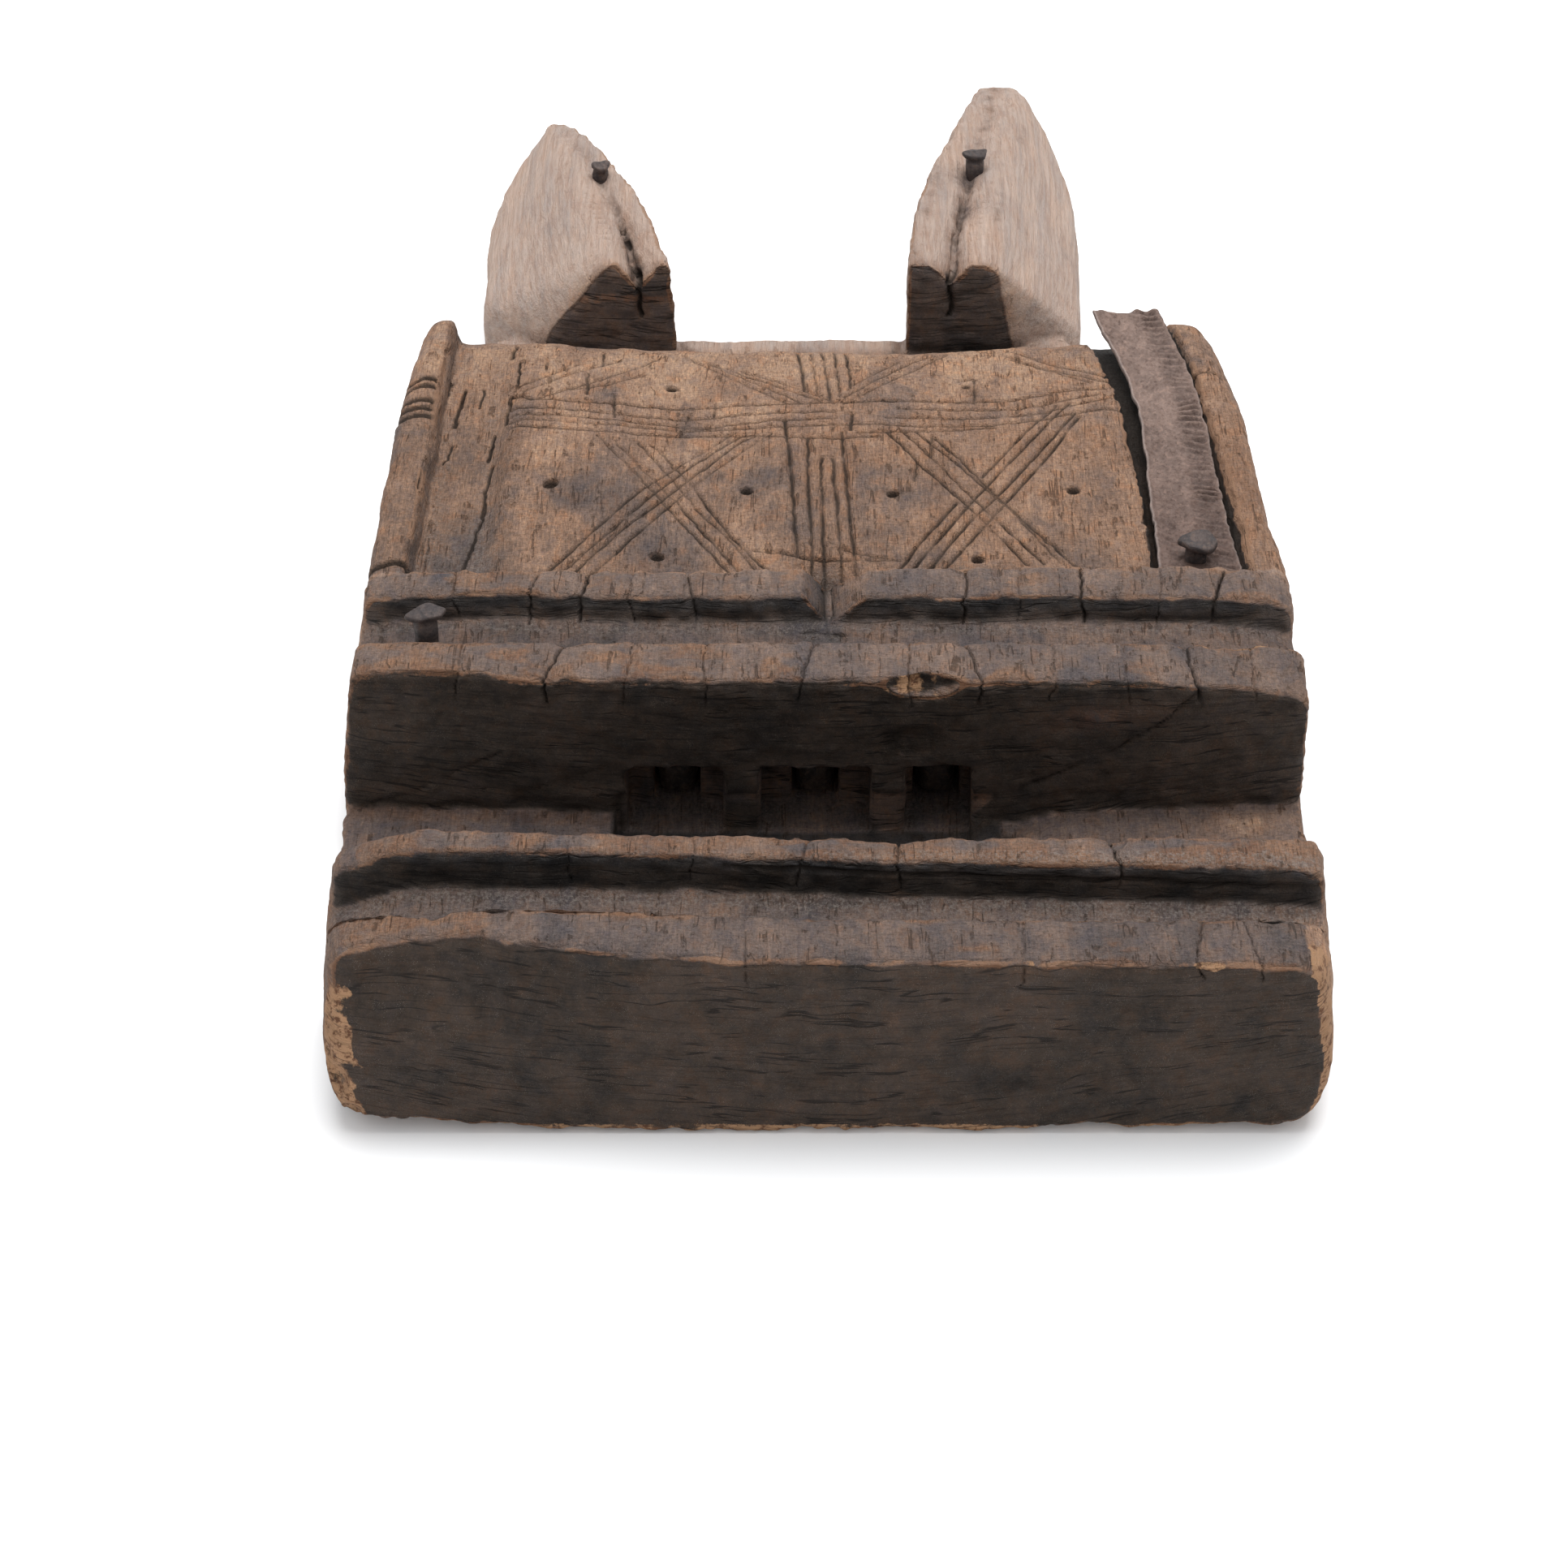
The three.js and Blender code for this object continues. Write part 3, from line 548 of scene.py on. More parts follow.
# ------------------------------------------------------------------ fine carving and damage
ENGRAVED = [  # strength, then the cut's points (x, u)
    (1.0, [(-48.3, 103.5), (-41.3, 114.5), (-32.7, 127.6)]),
    (0.45, [(-32.7, 127.6), (-25.2, 136.3), (-20.3, 141.8), (-16.3, 146.8)]),
    (0.8, [(-45.6, 103.9), (-38.4, 114.3), (-30.4, 126.7)]),
    (0.6, [(-30.4, 126.7), (-23.7, 135.5), (-17.8, 142.7), (-14.2, 146.4)]),
    (0.9, [(-43.2, 104.0), (-35.9, 115.5), (-28.6, 125.0)]),
    (0.6, [(-28.6, 125.0), (-21.6, 134.6), (-15.2, 143.6), (-12.2, 145.9)]),
    (1.0, [(-40.9, 101.9), (-34.3, 112.7), (-27.3, 123.4)]),
    (0.4, [(-27.3, 123.4), (-20.1, 133.7), (-13.7, 141.8), (-9.6, 146.4)]),
    (0.35, [(-41.4, 145.0), (-32.1, 130.1), (-27.8, 122.5)]),
    (0.7, [(-27.8, 122.5), (-22.1, 113.5), (-16.4, 103.9)]),
    (0.3, [(-38.3, 143.6), (-30.1, 130.1), (-25.3, 122.5)]),
    (0.7, [(-25.3, 122.5), (-19.6, 113.1), (-14.2, 103.1)]),
    (0.4, [(-33.6, 142.7), (-28.1, 132.8), (-22.8, 122.5)]),
    (0.6, [(-22.8, 122.5), (-17.1, 114.7), (-11.6, 104.7)]),
    (0.5, [(-31.0, 141.8), (-26.2, 134.1), (-22.4, 126.7)]),
    (1.0, [(-22.4, 126.7), (-16.7, 115.5), (-8.6, 102.7)]),
    (1.3, [(-7.1, 151.5), (-6.6, 142.7), (-6.0, 133.7), (-5.2, 120.1), (-4.5, 109.3)]),
    (1.2, [(-2.9, 144.5), (-2.9, 130.1), (-2.2, 116.8), (-2.0, 101.9)]),
    (1.2, [(-0.4, 138.1), (-0.3, 126.7), (-0.1, 113.5), (0.4, 95.5)]),
    (1.0, [(1.6, 138.1), (2.1, 127.6), (2.7, 115.1), (3.1, 99.9)]),
    (1.2, [(3.3, 146.4), (3.7, 135.5), (4.3, 126.7), (4.9, 115.1), (5.6, 100.7)]),
    (1.1, [(-5.0, 179.7), (-4.1, 170.7), (-3.5, 161.9)]),
    (0.4, [(-2.5, 178.7), (-1.7, 168.5), (-1.3, 160.6)]),
    (0.7, [(-0.5, 179.7), (0.4, 169.6), (1.1, 157.8)]),
    (0.7, [(2.0, 179.7), (2.5, 169.6), (2.9, 159.6)]),
    (1.1, [(4.0, 180.2), (4.7, 171.8), (5.1, 163.6)]),
    (0.7, [(-59.2, 160.4), (-54.1, 157.8), (-38.4, 156.8), (-28.9, 155.0), (-20.7, 156.0), (-13.9, 157.0), (2.7, 157.5), (14.7, 158.2)]),
    (0.6, [(-59.6, 155.0), (-45.0, 154.0), (-34.0, 152.0), (-25.7, 151.1), (-12.3, 153.8), (2.2, 154.0)]),
    (0.6, [(-59.4, 152.8), (-44.8, 151.5), (-32.9, 149.6), (-22.5, 148.2), (-10.2, 151.1), (2.2, 151.5)]),
    (0.5, [(-59.3, 150.9), (-46.3, 149.6), (-39.5, 148.9), (-25.6, 147.1), (-10.2, 148.7), (10.5, 149.3)]),
    (0.8, [(-59.1, 148.7), (-42.0, 146.5), (-26.0, 145.2), (-12.2, 145.9), (2.2, 144.2), (10.4, 145.0)]),
    (0.45, [(-59.2, 160.4), (-53.5, 165.2), (-46.0, 171.8)]),
    (0.4, [(-55.8, 160.6), (-47.9, 167.4), (-38.2, 174.0)]),
    (0.5, [(-51.5, 159.0), (-42.5, 165.2), (-35.9, 170.7), (-29.8, 176.9)]),
    (0.5, [(-47.0, 161.6), (-40.8, 163.6), (-33.7, 168.5)]),
    (0.5, [(-21.7, 174.0), (-12.5, 165.2), (-4.0, 157.5)]),
    (0.5, [(-18.4, 171.8), (-10.4, 165.2), (-0.4, 158.0)]),
    (0.4, [(-15.7, 170.7), (-5.6, 163.6), (1.7, 157.8)]),
    (0.3, [(-26.6, 177.5), (-18.3, 168.5), (-7.2, 157.8)]),
    (1.2, [(13.0, 104.9), (17.9, 114.0), (23.5, 123.8)]),
    (0.9, [(28.4, 132.0), (33.3, 140.7), (38.7, 149.6), (42.9, 155.8)]),
    (1.2, [(15.5, 104.9), (20.6, 114.0), (25.3, 122.4)]),
    (1.0, [(25.3, 122.4), (29.6, 130.1), (36.1, 141.2), (42.8, 152.8), (45.5, 156.6)]),
    (1.2, [(18.5, 104.9), (22.6, 112.7), (26.6, 119.6)]),
    (1.1, [(26.6, 119.6), (31.7, 127.4), (38.8, 139.8), (45.2, 151.2), (46.4, 153.3)]),
    (1.2, [(21.1, 104.9), (24.7, 110.9), (28.7, 117.5)]),
    (1.1, [(28.7, 117.5), (33.6, 126.5), (39.8, 137.3), (45.3, 148.6), (46.9, 151.7)]),
    (0.7, [(11.5, 146.6), (17.8, 134.9), (24.9, 124.2)]),
    (0.9, [(24.9, 124.2), (29.2, 117.1), (35.6, 106.2)]),
    (0.5, [(14.2, 147.1), (20.1, 136.8), (26.3, 126.0)]),
    (0.9, [(26.3, 126.0), (31.3, 118.0), (38.3, 106.6)]),
    (0.9, [(17.0, 146.6), (22.8, 137.8), (28.0, 130.1)]),
    (0.9, [(28.0, 130.1), (33.6, 121.1), (41.2, 106.9)]),
    (1.0, [(20.3, 144.5), (25.0, 136.8), (29.6, 128.3)]),
    (1.1, [(29.6, 128.3), (35.6, 118.4), (44.2, 105.3)]),
    (0.7, [(3.8, 157.1), (11.6, 158.6), (26.2, 158.0), (35.2, 158.2), (43.2, 160.9), (52.3, 162.0)]),
    (0.5, [(13.8, 155.2), (35.0, 154.7), (43.0, 157.1), (51.0, 159.8)]),
    (0.6, [(11.5, 151.7), (26.0, 151.7), (38.3, 152.8), (53.2, 158.6)]),
    (0.6, [(5.4, 149.4), (18.1, 148.6), (30.9, 149.4), (38.2, 150.7), (51.8, 154.4), (54.8, 153.7)]),
    (0.6, [(5.9, 146.0), (11.5, 146.4), (20.3, 147.1), (31.5, 148.6)]),
    (0.6, [(3.8, 159.5), (10.0, 167.1), (17.0, 175.2), (27.0, 180.9)]),
    (0.5, [(7.2, 160.6), (12.9, 167.1), (18.7, 173.3), (23.7, 178.3)]),
    (0.35, [(4.9, 163.7), (9.5, 169.5), (14.2, 174.9)]),
    (0.5, [(30.4, 179.6), (40.3, 170.7), (53.5, 163.7)]),
    (0.6, [(33.9, 179.4), (43.7, 170.7), (52.6, 166.5)]),
    (0.5, [(35.1, 174.5), (42.5, 168.9), (49.6, 164.0)]),
    (1.0, [(25.5, 166.5), (28.8, 167.3)]),
    (0.9, [(28.3, 167.1), (27.8, 157.7)]),
    (1.1, [(-44.2, 168.5), (-43.9, 160.1)]),
    (1.1, [(-41.8, 176.9), (-41.4, 172.0)]),
    (0.8, [(-38.8, 160.1), (-38.4, 151.5)]),
    (0.8, [(-24.7, 152.8), (-25.3, 149.1), (-26.0, 145.3)]),
    (0.5, [(-19.9, 157.0), (-20.2, 152.8)]),
    (1.3, [(5.3, 152.8), (4.9, 147.1)]),
    (0.5, [(-52.2, 173.4), (-51.9, 168.5)]),
    (0.7, [(-12.1, 110.5), (-6.7, 110.0), (-2.8, 108.5), (5.0, 107.7), (13.3, 107.4)]),
    (0.8, [(19.7, 145.2), (19.4, 137.8)]),
    (0.6, [(16.8, 136.8), (16.4, 130.6)]),
    (0.6, [(3.5, 110.5), (8.3, 108.8), (13.0, 107.5)]),
]
BURNT = [(12.3, 126.7, 1.25), (44.6, 128.2, 1.3), (26.8, 107.3, 1.25), (-48.9, 129.4, 1.5), (-13.8, 128.2, 1.3), (-29.0, 108.2, 1.3), (26.6, 164.0, 0.8), (-28.3, 163.0, 1.2)]
SPLITS = [  # open cracks along the grain on the front: strength, points (x, u)
    (1.3, [(-63.3, 101), (-62.4, 108), (-61.4, 116), (-60.6, 124), (-60.8, 131), (-60.2, 139)]),
    (1.3, [(-60.9, 141), (-60.4, 149)]), (1.8, [(-58.6, 151), (-58.2, 160)]), (1.2, [(-57.3, 163), (-57.0, 172)]),
    (1.9, [(-68.0, 152), (-67.6, 158), (-67.0, 164)]), (1.0, [(-68.9, 140), (-67.9, 146)]), (1.0, [(-72.0, 126), (-71.5, 135)]),
    (1.5, [(-58.9, 174), (-58.3, 179)]), (0.8, [(-70.4, 160), (-69.8, 166)]), (0.8, [(-63.8, 158), (-63.4, 164)]),
]
RIDGE_CRACKS = [  # x, first u, last u, lean, strength
    (-50.7, 91.4, 101.6, 0.10, 1.5), (-41.4, 91.4, 101.6, 0.06, 2.3), (-22.2, 91.4, 101.6, -0.08, 1.6), (24.2, 91.4, 101.6, 0.02, 1.7), (43.8, 91.4, 101.6, 0.03, 2.2),
    (66.7, 91.4, 101.6, 0.10, 2.4), (-33.0, 91.4, 101.6, 0.02, 0.6), (57.5, 91.4, 101.6, 0.0, 0.5), (-63, 91.4, 101.6, 0.0, 0.5), (33.5, 91.4, 101.6, 0.0, 0.5),
    (-46.4, 68, 81.6, 0.12, 2.0), (-4.0, 68, 81.6, 0.10, 1.3), (14.1, 68, 81.6, 0.0, 0.9), (26.2, 68, 81.6, -0.10, 1.6), (61.9, 68, 81.6, -0.06, 2.0),
    (-60.5, 68, 81.6, 0.0, 0.5), (-20.0, 68, 81.6, 0.0, 0.6), (38.0, 68, 81.6, 0.0, 0.5), (50.0, 68, 81.6, 0.0, 0.5), (-33.0, 68, 81.6, 0.05, 0.5), (71, 68, 81.6, 0, 0.5),
    (-3.8, 22.5, 29.4, 0.1, 1.4), (11.3, 22.5, 29.4, 0.0, 1.4), (45.9, 22.5, 29.4, -0.1, 1.8), (-40.0, 22.5, 29.4, 0.0, 0.4), (-20.0, 22.5, 29.4, 0.0, 0.4),
    (56.0, -1, 12, 0.05, 1.0), (30.0, -1, 12, 0.0, 0.4), (-12.0, -1, 12, 0.0, 0.4), (66.0, -1, 12, -0.1, 0.6),
]
RAIL_NOTCHES = [(161.0, 1.5), (158.6, 1.3), (153.9, 1.2), (151.2, 1.3), (148.6, 0.9), (103.0, 1.3)]


def near_lines(x, u, reach=1.7):
    hit = np.zeros(len(x), bool)
    for _, pts in ENGRAVED + SPLITS:
        for a, b in zip(pts, pts[1:]):
            box = (x > min(a[0], b[0]) - reach) & (x < max(a[0], b[0]) + reach) & (u > min(a[1], b[1]) - reach) & (u < max(a[1], b[1]) + reach) & ~hit
            if box.any():
                hit[np.flatnonzero(box)[segment_distance(x[box], u[box], a, b) < reach]] = True
    for hx, hu, r in BURNT:
        hit |= (x - hx) ** 2 + (u - hu) ** 2 < (r + 1.6) ** 2
    return hit


def segment_distance(x, u, a, b):
    ex, eu = b[0] - a[0], b[1] - a[1]
    t = np.clip(((x - a[0]) * ex + (u - a[1]) * eu) / (ex * ex + eu * eu + 1e-9), 0, 1)
    return np.sqrt((x - a[0] - t * ex) ** 2 + (u - a[1] - t * eu) ** 2)


def path_distance(x, u, pts, reach):
    d = np.full(len(x), 99.0, F)
    for a, b in zip(pts, pts[1:]):
        box = (x > min(a[0], b[0]) - reach) & (x < max(a[0], b[0]) + reach) & (u > min(a[1], b[1]) - reach) & (u < max(a[1], b[1]) + reach)
        if box.any():
            i = np.flatnonzero(box)
            d[i] = np.minimum(d[i], segment_distance(x[i], u[i], a, b))
    return d


# ------------------------------------------------------------------ the case's mesh
def build_case():
    V, Q = surface_nets(shape, (-86, -4, -3), (86, 294, 41), 1.0)
    ngons = []

    def mids(V, Q):
        c = V[Q].mean(1)
        n = np.cross(V[Q[:, 2]] - V[Q[:, 0]], V[Q[:, 3]] - V[Q[:, 1]])
        n /= np.maximum(np.linalg.norm(n, axis=1), 1e-9)[:, None]
        return c, n

    c, n = mids(V, Q)
    hidden = (c[:, 2] < 15) & (c[:, 1] > 60) & (c[:, 1] < 125) & (np.abs(c[:, 0]) < 40)
    flag = (n[:, 2] > -0.5) & ~hidden & (c[:, 2] > 0.6)
    V, Q, ngons = refine(V, Q, ngons, flag)
    w = slow_noise(V[:, 0], V[:, 1], V[:, 2])
    V = settle(V, w, 2)
    c, n = mids(V, Q)
    small = np.linalg.norm(V[Q[:, 2]] - V[Q[:, 0]], axis=1) < 1.1
    panel = (c[:, 1] > 99) & (c[:, 1] < 183) & (c[:, 2] > 28) & (c[:, 0] > -73) & (c[:, 0] < 58) & (n[:, 2] > 0.4)
    edges = np.zeros(len(c), bool)
    for a, b in ((-1.0, 2.0), (10.4, 12.3), (22.2, 24.0), (28.0, 29.5), (68.2, 70.2), (79.4, 81.5), (91.0, 93.2), (99.8, 101.8)):
        edges |= (c[:, 1] > a) & (c[:, 1] < b)
    for cx, ua, ub, lean, strength in RIDGE_CRACKS:
        edges |= (np.abs(c[:, 0] - cx - lean * 8) < 1.8) & (c[:, 1] > ua - 1) & (c[:, 1] < ub)
    edges &= (c[:, 2] > 31.0) & (c[:, 1] < 102)
    flag = small & ((panel & near_lines(c[:, 0], c[:, 1])) | edges)
    V, Q, ngons = refine(V, Q, ngons, flag)
    w = slow_noise(V[:, 0], V[:, 1], V[:, 2])
    V = settle(V, w, 1)
    return V, Q, ngons


def normals_of(V, polys_q, ngons):
    n = np.zeros_like(V)
    fn = np.cross(V[polys_q[:, 2]] - V[polys_q[:, 0]], V[polys_q[:, 3]] - V[polys_q[:, 1]])
    for k in range(4):
        for c in range(3):
            n[:, c] += np.bincount(polys_q[:, k], fn[:, c], len(V))
    for poly in ngons:
        p = V[poly]
        f = np.cross(p - p.mean(0), np.roll(p, -1, 0) - p.mean(0)).sum(0)
        n[poly] += f
    return n / np.maximum(np.linalg.norm(n, axis=1), 1e-9)[:, None]


def carve(V, N, w):
    """Engraving, cracks and pits as small moves along the normal. Returns the moves and how deep each point lies in a cut."""
    x, u, z = (V[:, i].astype(F) for i in range(3))
    nx, nu, nz = (N[:, i].astype(F) for i in range(3))
    depth = np.zeros(len(V), F)
    cut = np.zeros(len(V), F)
    # engraved panel
    p = (u > 98.9) & (u < 186) & (z > 27) & (nz > 0.35)
    xi, ui = x[p], u[p]
    wob = noise3(xi / 1.3, ui / 1.3, 0.5, 71) * 0.22 + noise3(xi / 5, ui / 5, 0.5, 72) * 0.2
    vary = 0.72 + 0.45 * noise3(xi / 3.0, ui / 3.0, 2.5, 73)
    d = np.zeros(len(xi), F)
    q = np.zeros(len(xi), F)
    on_panel = (xi > -58) & (xi < PANEL_R(ui))
    for strength, pts in ENGRAVED:
        strength = strength * (1.3 if strength < 0.75 else 1.0)
        half = 0.44 + 0.15 * strength
        dist = np.abs(path_distance(xi + wob, ui + wob * 0.7, pts, 2.0))
        v = np.clip(1 - dist / half, 0, 1) ** 0.85 * (0.30 + 0.55 * min(strength, 1.3)) * np.clip(vary, 0.15, 1.3) * on_panel
        d = np.maximum(d, v)
        q = np.maximum(q, np.clip(1 - dist / (half * 0.9), 0, 1) * min(1.0, 0.35 + 0.6 * strength) * np.clip(vary + 0.15, 0.2, 1) * on_panel)
    for strength, pts in SPLITS:
        dist = path_distance(xi + 1.6 * wob, ui, pts, 2.0)
        half = 0.16 + 0.15 * strength
        v = np.clip(1.15 - dist / half, 0, 1) * 0.6 * strength
        d = np.maximum(d, v)
        q = np.maximum(q, np.clip(1.3 - dist / half, 0, 1))
    for hx, hu, r in BURNT:
        rr = np.sqrt((xi - hx) ** 2 + (ui - hu) ** 2) + 0.35 * wob
        d = np.maximum(d, 1.7 * step(r + 0.15, r * 0.45, rr))
        q = np.maximum(q, step(r + 0.25, r * 0.5, rr))
    depth[p] = d
    cut[p] = q
    # notches cut across the left rail
    p = (x < -69.5) & (u > 98) & (z > 29)
    for nu0, s in RAIL_NOTCHES:
        dist = np.abs(u[p] - nu0 - 0.35 * np.sin(x[p]) - 0.12 * (x[p] + 75))
        depth[p] = np.maximum(depth[p], np.clip(1 - dist / 0.8, 0, 1) * 0.9 * s * step(-71.0, -72.2, x[p]))
        cut[p] = np.maximum(cut[p], np.clip(1.5 - dist / 0.7, 0, 1) * step(-71.0, -72.2, x[p]))
    # the worn crack over the right rail
    p = (x > 66) & (u > 150) & (u < 175) & (z > 20)
    dist = np.abs(u[p] - 164.5 + 0.05 * (x[p] - 70) ** 2 - 0.4 * noise3(x[p] / 2, 0.5, z[p] / 2, 5))
    depth[p] = np.maximum(depth[p], np.clip(1 - dist / 0.5, 0, 1) * 0.5)
    cut[p] = np.maximum(cut[p], np.clip(1 - dist / 0.5, 0, 1) * 0.7)
    # cracks across the ridges, running on down their walls
    for k, (cx, ua, ub, lean, s) in enumerate(RIDGE_CRACKS):
        p = (np.abs(x - cx) < 6) & (u > ua - 0.5) & (u < ub + 0.3) & (z > 26.5)
        if not p.any():
            continue
        xi, ui, zi = x[p], u[p], z[p]
        path = cx + lean * (ui - ua) * 2.0 + 0.5 * noise3(ui / 2.5, zi / 2.5, k * 1.7, 81) - (36 - zi) * 0.10 * (1 if k % 2 else -1) + 0.18 * noise3(ui / 0.8, zi / 0.8, k * 1.7, 82)
        dist = np.abs(xi - path)
        fade = step(26.5 + 2.0 * (k % 3), 33.5, zi)
        half = 0.11 + 0.105 * s
        v = np.clip(1.1 - dist / half, 0, 1) * (0.35 + 0.40 * s) * fade
        shoulder = 0.30 * s * np.exp(-((dist / (0.8 + 0.5 * s)) ** 2)) * step(33.5, 36.0, zi)
        depth[p] = np.maximum(depth[p], v + shoulder)
        cut[p] = np.maximum(cut[p], np.clip(1.15 - dist / half, 0, 1) * fade * min(1, 0.12 + 0.38 * s))
    # long checks across the channel's upper wall, following the growth rings
    p = (u > 66) & (u < 71.5) & (nu < -0.4)
    xi, zi = x[p], z[p]
    wob = 0.5 * noise3(xi / 6, zi / 3, 0.5, 91) + 0.15 * noise3(xi / 1.4, zi / 1.4, 0.5, 92)
    for pts, s in (([(-80, 8.6), (-70, 12.4), (-60, 17.5), (-54, 21)], 1.0), ([(-52, 12.0), (-40, 16.5), (-36, 18.5)], 0.6), ([(61.5, 34), (57, 28), (48, 21), (38, 15.5), (29, 11.5), (24, 10)], 1.0), ([(-76, 9.5), (-62, 10.2), (-48, 10.6), (-38, 11.2)], 0.5), ([(36, 11.6), (52, 12.2), (66, 13.6), (80, 12.2)], 0.6), ([(62, 9.8), (80, 11.4)], 0.5)):
        dist = path_distance(xi, zi + wob, pts, 2.5) * 0.85
        gap = np.clip(0.75 + 0.9 * noise3(xi / 5.0, zi / 5.0, s * 9, 90), 0.1, 1)
        depth[p] = np.maximum(depth[p], np.clip(1.1 - dist / 0.26, 0, 1) * 0.5 * s * gap)
        cut[p] = np.maximum(cut[p], np.clip(1.1 - dist / 0.26, 0, 1) * s * gap * 0.8)
    # growth-ring checks on the foot's end grain
    p = (u < 6) & (nu < -0.5)
    xi, zi = x[p], z[p]
    ring = np.sqrt((xi - 2) ** 2 + (zi - 330) ** 2) + 1.6 * noise3(xi / 34, zi / 14, 0.5, 93) + 0.5 * noise3(xi / 9, zi / 5, 0.5, 94)
    for k, (r0, xa, xb, s) in enumerate(END_CHECKS):
        dist = np.abs(ring - r0) * 1.25
        along = step(xa - 1, xa + 5, xi) * step(xb + 1, xb - 5, xi)
        broken = np.clip(0.55 + 0.9 * noise3(xi / 4.0, k * 3.1, 0.5, 95), 0, 1)
        depth[p] = np.maximum(depth[p], np.clip(1 - dist / 0.32, 0, 1) * 0.22 * s * along * broken)
        cut[p] = np.maximum(cut[p], np.clip(1.15 - dist / 0.32, 0, 1) * s * along * broken * 0.42)
    # a long split in the right side of the second ridge's near wall
    p = (u > 21) & (u < 25) & (nu < -0.3) & (x > -16)
    xi, zi = x[p], z[p]
    dist = np.abs(zi - 34.2 + 0.022 * (xi + 14) + 0.25 * noise3(xi / 7, 0.5, 0.5, 96))
    depth[p] = np.maximum(depth[p], np.clip(1 - dist / 0.6, 0, 1) * 0.8)
    cut[p] = np.maximum(cut[p], np.clip(1 - dist / 0.6, 0, 1) * 0.8)
    # ear cracks down the valleys, and the rest of the ears' checks
    # a hatched pit in the channel's floor
    p = (u > 59) & (u < 67) & (z > 5) & (z < 11) & (x > 27) & (x < 39)
    for k in range(7):
        dist = np.abs(x[p] - 29.0 - 1.15 * k - 0.12 * (u[p] - 62))
        on = step(60.2, 60.9, u[p]) * step(66.0, 65.0, u[p])
        cut[p] = np.maximum(cut[p], np.clip(1.2 - dist / 0.42, 0, 1) * on * 0.9)
        depth[p] = np.maximum(depth[p], np.clip(1.0 - dist / 0.45, 0, 1) * on * 0.3)
    p = (u > 201) & (z > 24)
    xi, ui, zi = x[p], u[p], z[p]
    for (vx, _), side, last in ((VALLEYS[0], -1, 240), (VALLEYS[1], 1, 246)):
        dist = np.abs(xi - vx(ui) - 0.5 * noise3(ui / 2.5, zi / 2.0, side * 3.0, 97))
        open_ = step(last, last - 20, ui) * (0.5 + 0.5 * noise3(ui / 5.0, side * 2.0, 0.5, 98)) + step(210, 203, ui)
        v = np.clip(1.2 - dist / 0.55, 0, 1) * np.clip(open_, 0, 1.2) * (xi * side > 8)
        depth[p] = np.maximum(depth[p], 1.3 * v)
        cut[p] = np.maximum(cut[p], np.clip(v, 0, 1))
        # painted shade along the valley, darkening it through cut, and small ribs worn into the bead next to it
        off = (xi - vx(ui)) * side
        painted_valley_shade = np.exp(-((off / 0.9) ** 2)) * step(252, 236, ui) * (xi * side > 8) * (0.30 + 0.25 * noise3(ui / 3.0, side * 4.0, 0.5, 99))
        cut[p] = np.maximum(cut[p], painted_valley_shade)
        rib = np.clip(np.sin(ui * 2.9 + 0.35 * off + 1.4 * noise3(ui / 4.0, 0.5, 0.5, 87)), 0, 1) ** 2
        band = np.exp(-(((off - 4.3) / 1.5) ** 2)) * step(209, 214, ui) * step(236, 228, ui) * (xi * side > 8)
        depth[p] = depth[p] + 0.44 * rib * band * (1.0 if side < 0 else 0.5)
        cut[p] = np.maximum(cut[p], 0.22 * rib * band)
    return depth, cut


END_CHECKS = [  # ring radius from a heart far above the case, first and last x, strength
    (331 - 27, -76, -40, 0.6), (331 - 24.5, -74, -20, 0.4), (331 - 21, -76, -44, 0.9), (331 - 22.5, 0, 30, 0.3), (331 - 18.5, -40, 5, 0.6), (331 - 16.2, -76, -30, 1.0),
    (331 - 15.2, 48, 78, 1.0), (331 - 19.5, 40, 72, 0.7), (331 - 12.6, 20, 78, 0.6), (331 - 12.0, -50, 40, 0.6), (331 - 9.5, 44, 74, 0.9), (331 - 8.6, -60, 20, 0.7),
    (331 - 6.4, -10, 60, 0.5), (331 - 5.0, -70, -24, 0.9), (331 - 3.4, 8, 66, 0.6), (331 - 1.6, -66, -10, 0.8), (331 + 1.2, -60, 44, 0.5), (331 + 3.0, -50, 30, 0.5),
    (331 - 28.5, -30, 20, 0.3), (331 - 25.8, 30, 76, 0.5), (331 - 29.6, 44, 76, 0.4), (331 - 22.0, 60, 78, 0.8),
]


# ------------------------------------------------------------------ tone of the old wood, point by point
# Along the panel (u 102 to 180) the tops' tone falls toward the far end and stays low on the ears: painted light, paler
# where light from behind falls and glints.
TOP_TONE = table([(-9, 0.43), (11, 0.43), (12.5, 0.45), (22, 0.45), (23, 0.39), (31.4, 0.39), (32.2, 0.60), (68.2, 0.62), (68.8, 0.36), (80.4, 0.34), (81.2, 0.42), (91.2, 0.44), (91.9, 0.32), (101.2, 0.30), (102, 0.21), (135, 0.18), (160, 0.12), (180, 0.04), (188, 0.06), (196, 0.5), (204, 0.1), (300, 0.0)], 0.3)
NEAR_TONE = table([(-9, 0.80), (8, 0.80), (9, 0.88), (26, 0.88), (27, 0.83), (60, 0.83), (64, 0.90), (74, 0.90), (76, 0.86), (84, 0.84), (93.5, 0.84), (97, 0.4), (180, 0.3), (192, 0.5), (198, 0.58), (214, 0.58), (222, 0.15), (300, 0.1)], 0.3)
FAR_TONE = table([(-9, 0.6), (20, 0.6), (40, 0.75), (90, 0.6), (99, 0.4), (180, 0.3), (190, 0.35), (230, 0.1), (300, 0.05)], 0.5)
RAW_SCARS = (0, 3, 4, 5, 6, 7, 13, 14, 17)


def slot_wall(u, wn):
    return (u > 60) * (u < 72) * wn


